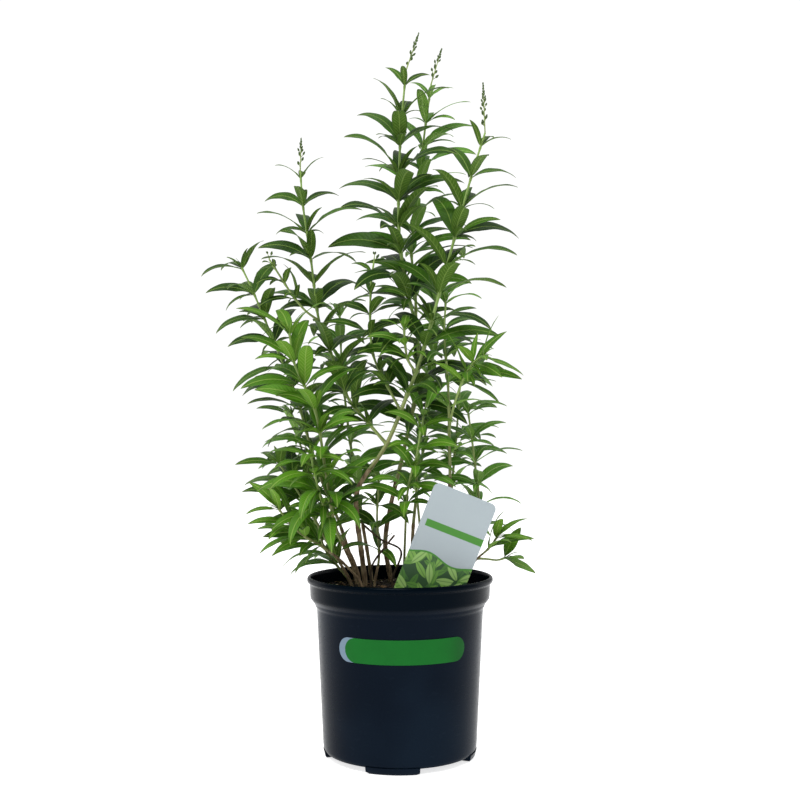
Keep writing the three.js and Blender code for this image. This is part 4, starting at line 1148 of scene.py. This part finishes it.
def strip_shape(start, end, inner, outer):
    """A bar with round ends, wrapped round the front of the pot."""
    middle, half = BAND.middle, BAND.height / 2
    reach = math.degrees(half / wall_radius(middle))
    ends = reach * (1 - np.cos(np.linspace(0.12, math.pi / 2, 12)))
    straight = np.linspace(start + reach, end - reach, 50)[1:-1]
    angles = np.concatenate([start + ends, straight, (end - ends)[::-1]])[:, None]
    inset = np.maximum(0, 1 - np.minimum(angles - start, end - angles) / reach)
    up = middle + half * np.sqrt(np.maximum(0, 1 - inset * inset)) * np.linspace(-1, 1, 9)
    turns, down = np.radians(angles - 90), up[:, ::-1]
    outside = round_axis(wall_radius(down) + outer, turns, down)
    inside = round_axis(wall_radius(up) + inner, turns, up)
    rings = np.concatenate([outside, inside], axis=1)
    return Shape().loft(rings, strip=three((angles - start) / (end - start), 0, 0))


def card_outline():
    """The card and its stake, anticlockwise from the stake's tip, as (across, up)."""
    side, stake, corner = LABEL.width / 2, LABEL.stake_width / 2, LABEL.corner
    high, tip = LABEL.card_length - corner, -LABEL.stake_length
    right = [(stake, tip + stake), (stake, -LABEL.shoulder), (side, 0)]
    for angle in np.linspace(0, math.pi / 2, 9):
        right.append((side - corner + corner * math.cos(angle), high + corner * math.sin(angle)))
    return [(0, tip), *right, *((-across, up) for across, up in reversed(right))]


def label_shape():
    """The card as two flat faces with thin sides between them."""
    shape = Shape()
    points = [(0, 20), *card_outline()]
    edge = np.arange(1, len(points))
    after = np.roll(edge, -1)
    for front, pair in ((1, (edge, after)), (0, (after, edge))):
        out = (front - 0.5) * LABEL.thickness
        places = [on_card(*point, out) for point in points]
        first = shape.add(places, card=[(*point, front) for point in points])
        shape.tris.append(first + np.stack([0 * edge, *pair], axis=-1))
    back = len(points)
    shape.quads.append(np.stack([after, edge, edge + back, after + back], axis=-1))
    return shape


# ---------------------------------------------------------------- the whole


def dress(stem, leaves, small, looks, draw):
    """One stem's leaves, green stem, bark and buds."""
    name, slot = stem["name"], "leaf_" + stem["tone"]
    foliage = Shape()
    tips = [] if "spike" in stem else tip_leaves(stem, draw)
    for leaf in leaves:
        add_leaf(foliage, leaf, youth_of(stem, leaf), draw, BLADE.stations)
    for leaf in small:
        add_leaf(foliage, leaf, youth_of(stem, leaf) + SMALL_YOUTH, draw, BLADE.small_stations)
    for leaf in tips:
        add_leaf(foliage, leaf, TIP_YOUTH, draw, BLADE.tip_stations)
    make_piece("leaves_" + name, foliage, looks[slot], slot, ["shoot_" + name])
    make_piece("stem_" + name, stem_shape(stem), looks["stem"], slot)
    if "woody" in stem:
        make_piece("bark_" + name, cane_shape(stem), looks["bark"], "cane_bark", ["cane_" + name])
    if "spike" in stem:
        buds = spike_shape(stem, draw)
        make_piece("spike_" + name, buds, looks["bud"], "bud_green", ["flower_spike_" + name])


def make_plant():
    looks = {name: leaf_material(name) for name in ("leaf_dark", "leaf_bright", "leaf_grey")}
    looks.update(stem=stem_material(), bud=bud_material(), bark=bark_material("bark"))
    for number, (stem, leaves, small) in enumerate(zip(STEMS, *grow_plant())):
        dress(stem, leaves, small, looks, drawer(91771 * (number + 3)))
    dry = bark_material("dry_wood")
    for twig in DRY_TWIGS:
        make_piece("wood_" + twig["name"], cane_shape(twig), dry, "dry_wood", [twig["name"]])


def make_pot_and_soil():
    ground = soil_shape()
    add_bits(ground, drawer(5150))
    make_piece("soil_fine", ground, soil_material(), "soil", ["potting_soil"])
    drilled(make_piece("pot_fine", pot_shape(), pot_material(), "pot_plastic", ["nursery_pot"], sharp=40))
    start, end = BAND.start, BAND.end
    plate, bar = strip_shape(start, end - 2, 0.1, 0.45), strip_shape(start + 5.5, end, 0.15, 0.75)
    make_piece("band_plate", plate, printed_material("band_plate"), "band_print", ["band_label"], sharp=40)
    make_piece("band_bar", bar, printed_material("band_bar"), "band_print", sharp=40)
    make_piece("label_fine", label_shape(), card_material(), "label_card", ["plant_label"], sharp=30)


def add_light(name, place, aim, size, energy):
    light = bpy.data.lights.new(name, "AREA")
    light.shape, light.size, light.size_y, light.energy = "RECTANGLE", *size, energy
    holder = add_object(name, light, place)
    holder.rotation_euler = (Vector(aim) - Vector(place)).to_track_quat("-Z", "Y").to_euler()
    holder.visible_camera = False


# In metres and watts. The surround is brighter for the camera than as a light.
FLOOR = Sizes(half=6.0, sunk=0.0004)
SURROUND = Sizes(light=0.72, seen=1.05)
# Each light's name, place, aim, size and power.
LIGHTS = (
    ("key", (-0.35, -1.3, 1.9), (0, 0, 0.4), (1.2, 0.9), 29),
    ("left_strip", (-1.0, 0.6, 0.5), (0, 0, 0.25), (0.5, 1.4), 2.9),
    ("right_strip", (1.0, 0.6, 0.5), (0, 0, 0.25), (0.5, 1.4), 2.7),
)


def set_stage():
    """A pale floor, a white surround and large soft lights."""
    half = FLOOR.half
    mesh = bpy.data.meshes.new("floor")
    mesh.from_pydata([(-half, -half, 0), (half, -half, 0), (half, half, 0), (-half, half, 0)], [], [range(4)])
    mesh.materials.append(floor_material())
    floor = add_object("floor", mesh, (0, 0, -FLOOR.sunk))
    world = bpy.data.worlds.new("surround")
    world.use_nodes = True
    nodes, links = world.node_tree.nodes, world.node_tree.links
    strength = nodes.new("ShaderNodeMapRange")
    strength.inputs["To Min"].default_value = SURROUND.light
    strength.inputs["To Max"].default_value = SURROUND.seen
    links.new(nodes.new("ShaderNodeLightPath").outputs["Is Camera Ray"], strength.inputs["Value"])
    links.new(strength.outputs[0], nodes["Background"].inputs["Strength"])
    nodes["Background"].inputs["Color"].default_value = (1, 1, 1, 1)
    bpy.context.scene.world = world
    for light in LIGHTS:
        add_light(*light)


# The photograph's width, its focal length and its level line, in pixels, and the camera's place.
PHOTO = Sizes(width=800, focal=1117, level=431.4, place=(0, -1.15, 0.331))


def set_camera():
    camera = bpy.data.cameras.new("camera")
    camera.sensor_width = 36
    camera.lens = PHOTO.focal / PHOTO.width * camera.sensor_width
    camera.shift_y = (PHOTO.level - PHOTO.width / 2) / PHOTO.width
    holder = add_object("camera", camera, PHOTO.place)
    holder.rotation_euler = (math.radians(90), 0, 0)
    bpy.context.scene.camera = holder


make_plant()
make_pot_and_soil()
set_stage()
set_camera()
bpy.context.scene.view_settings.view_transform = "Standard"
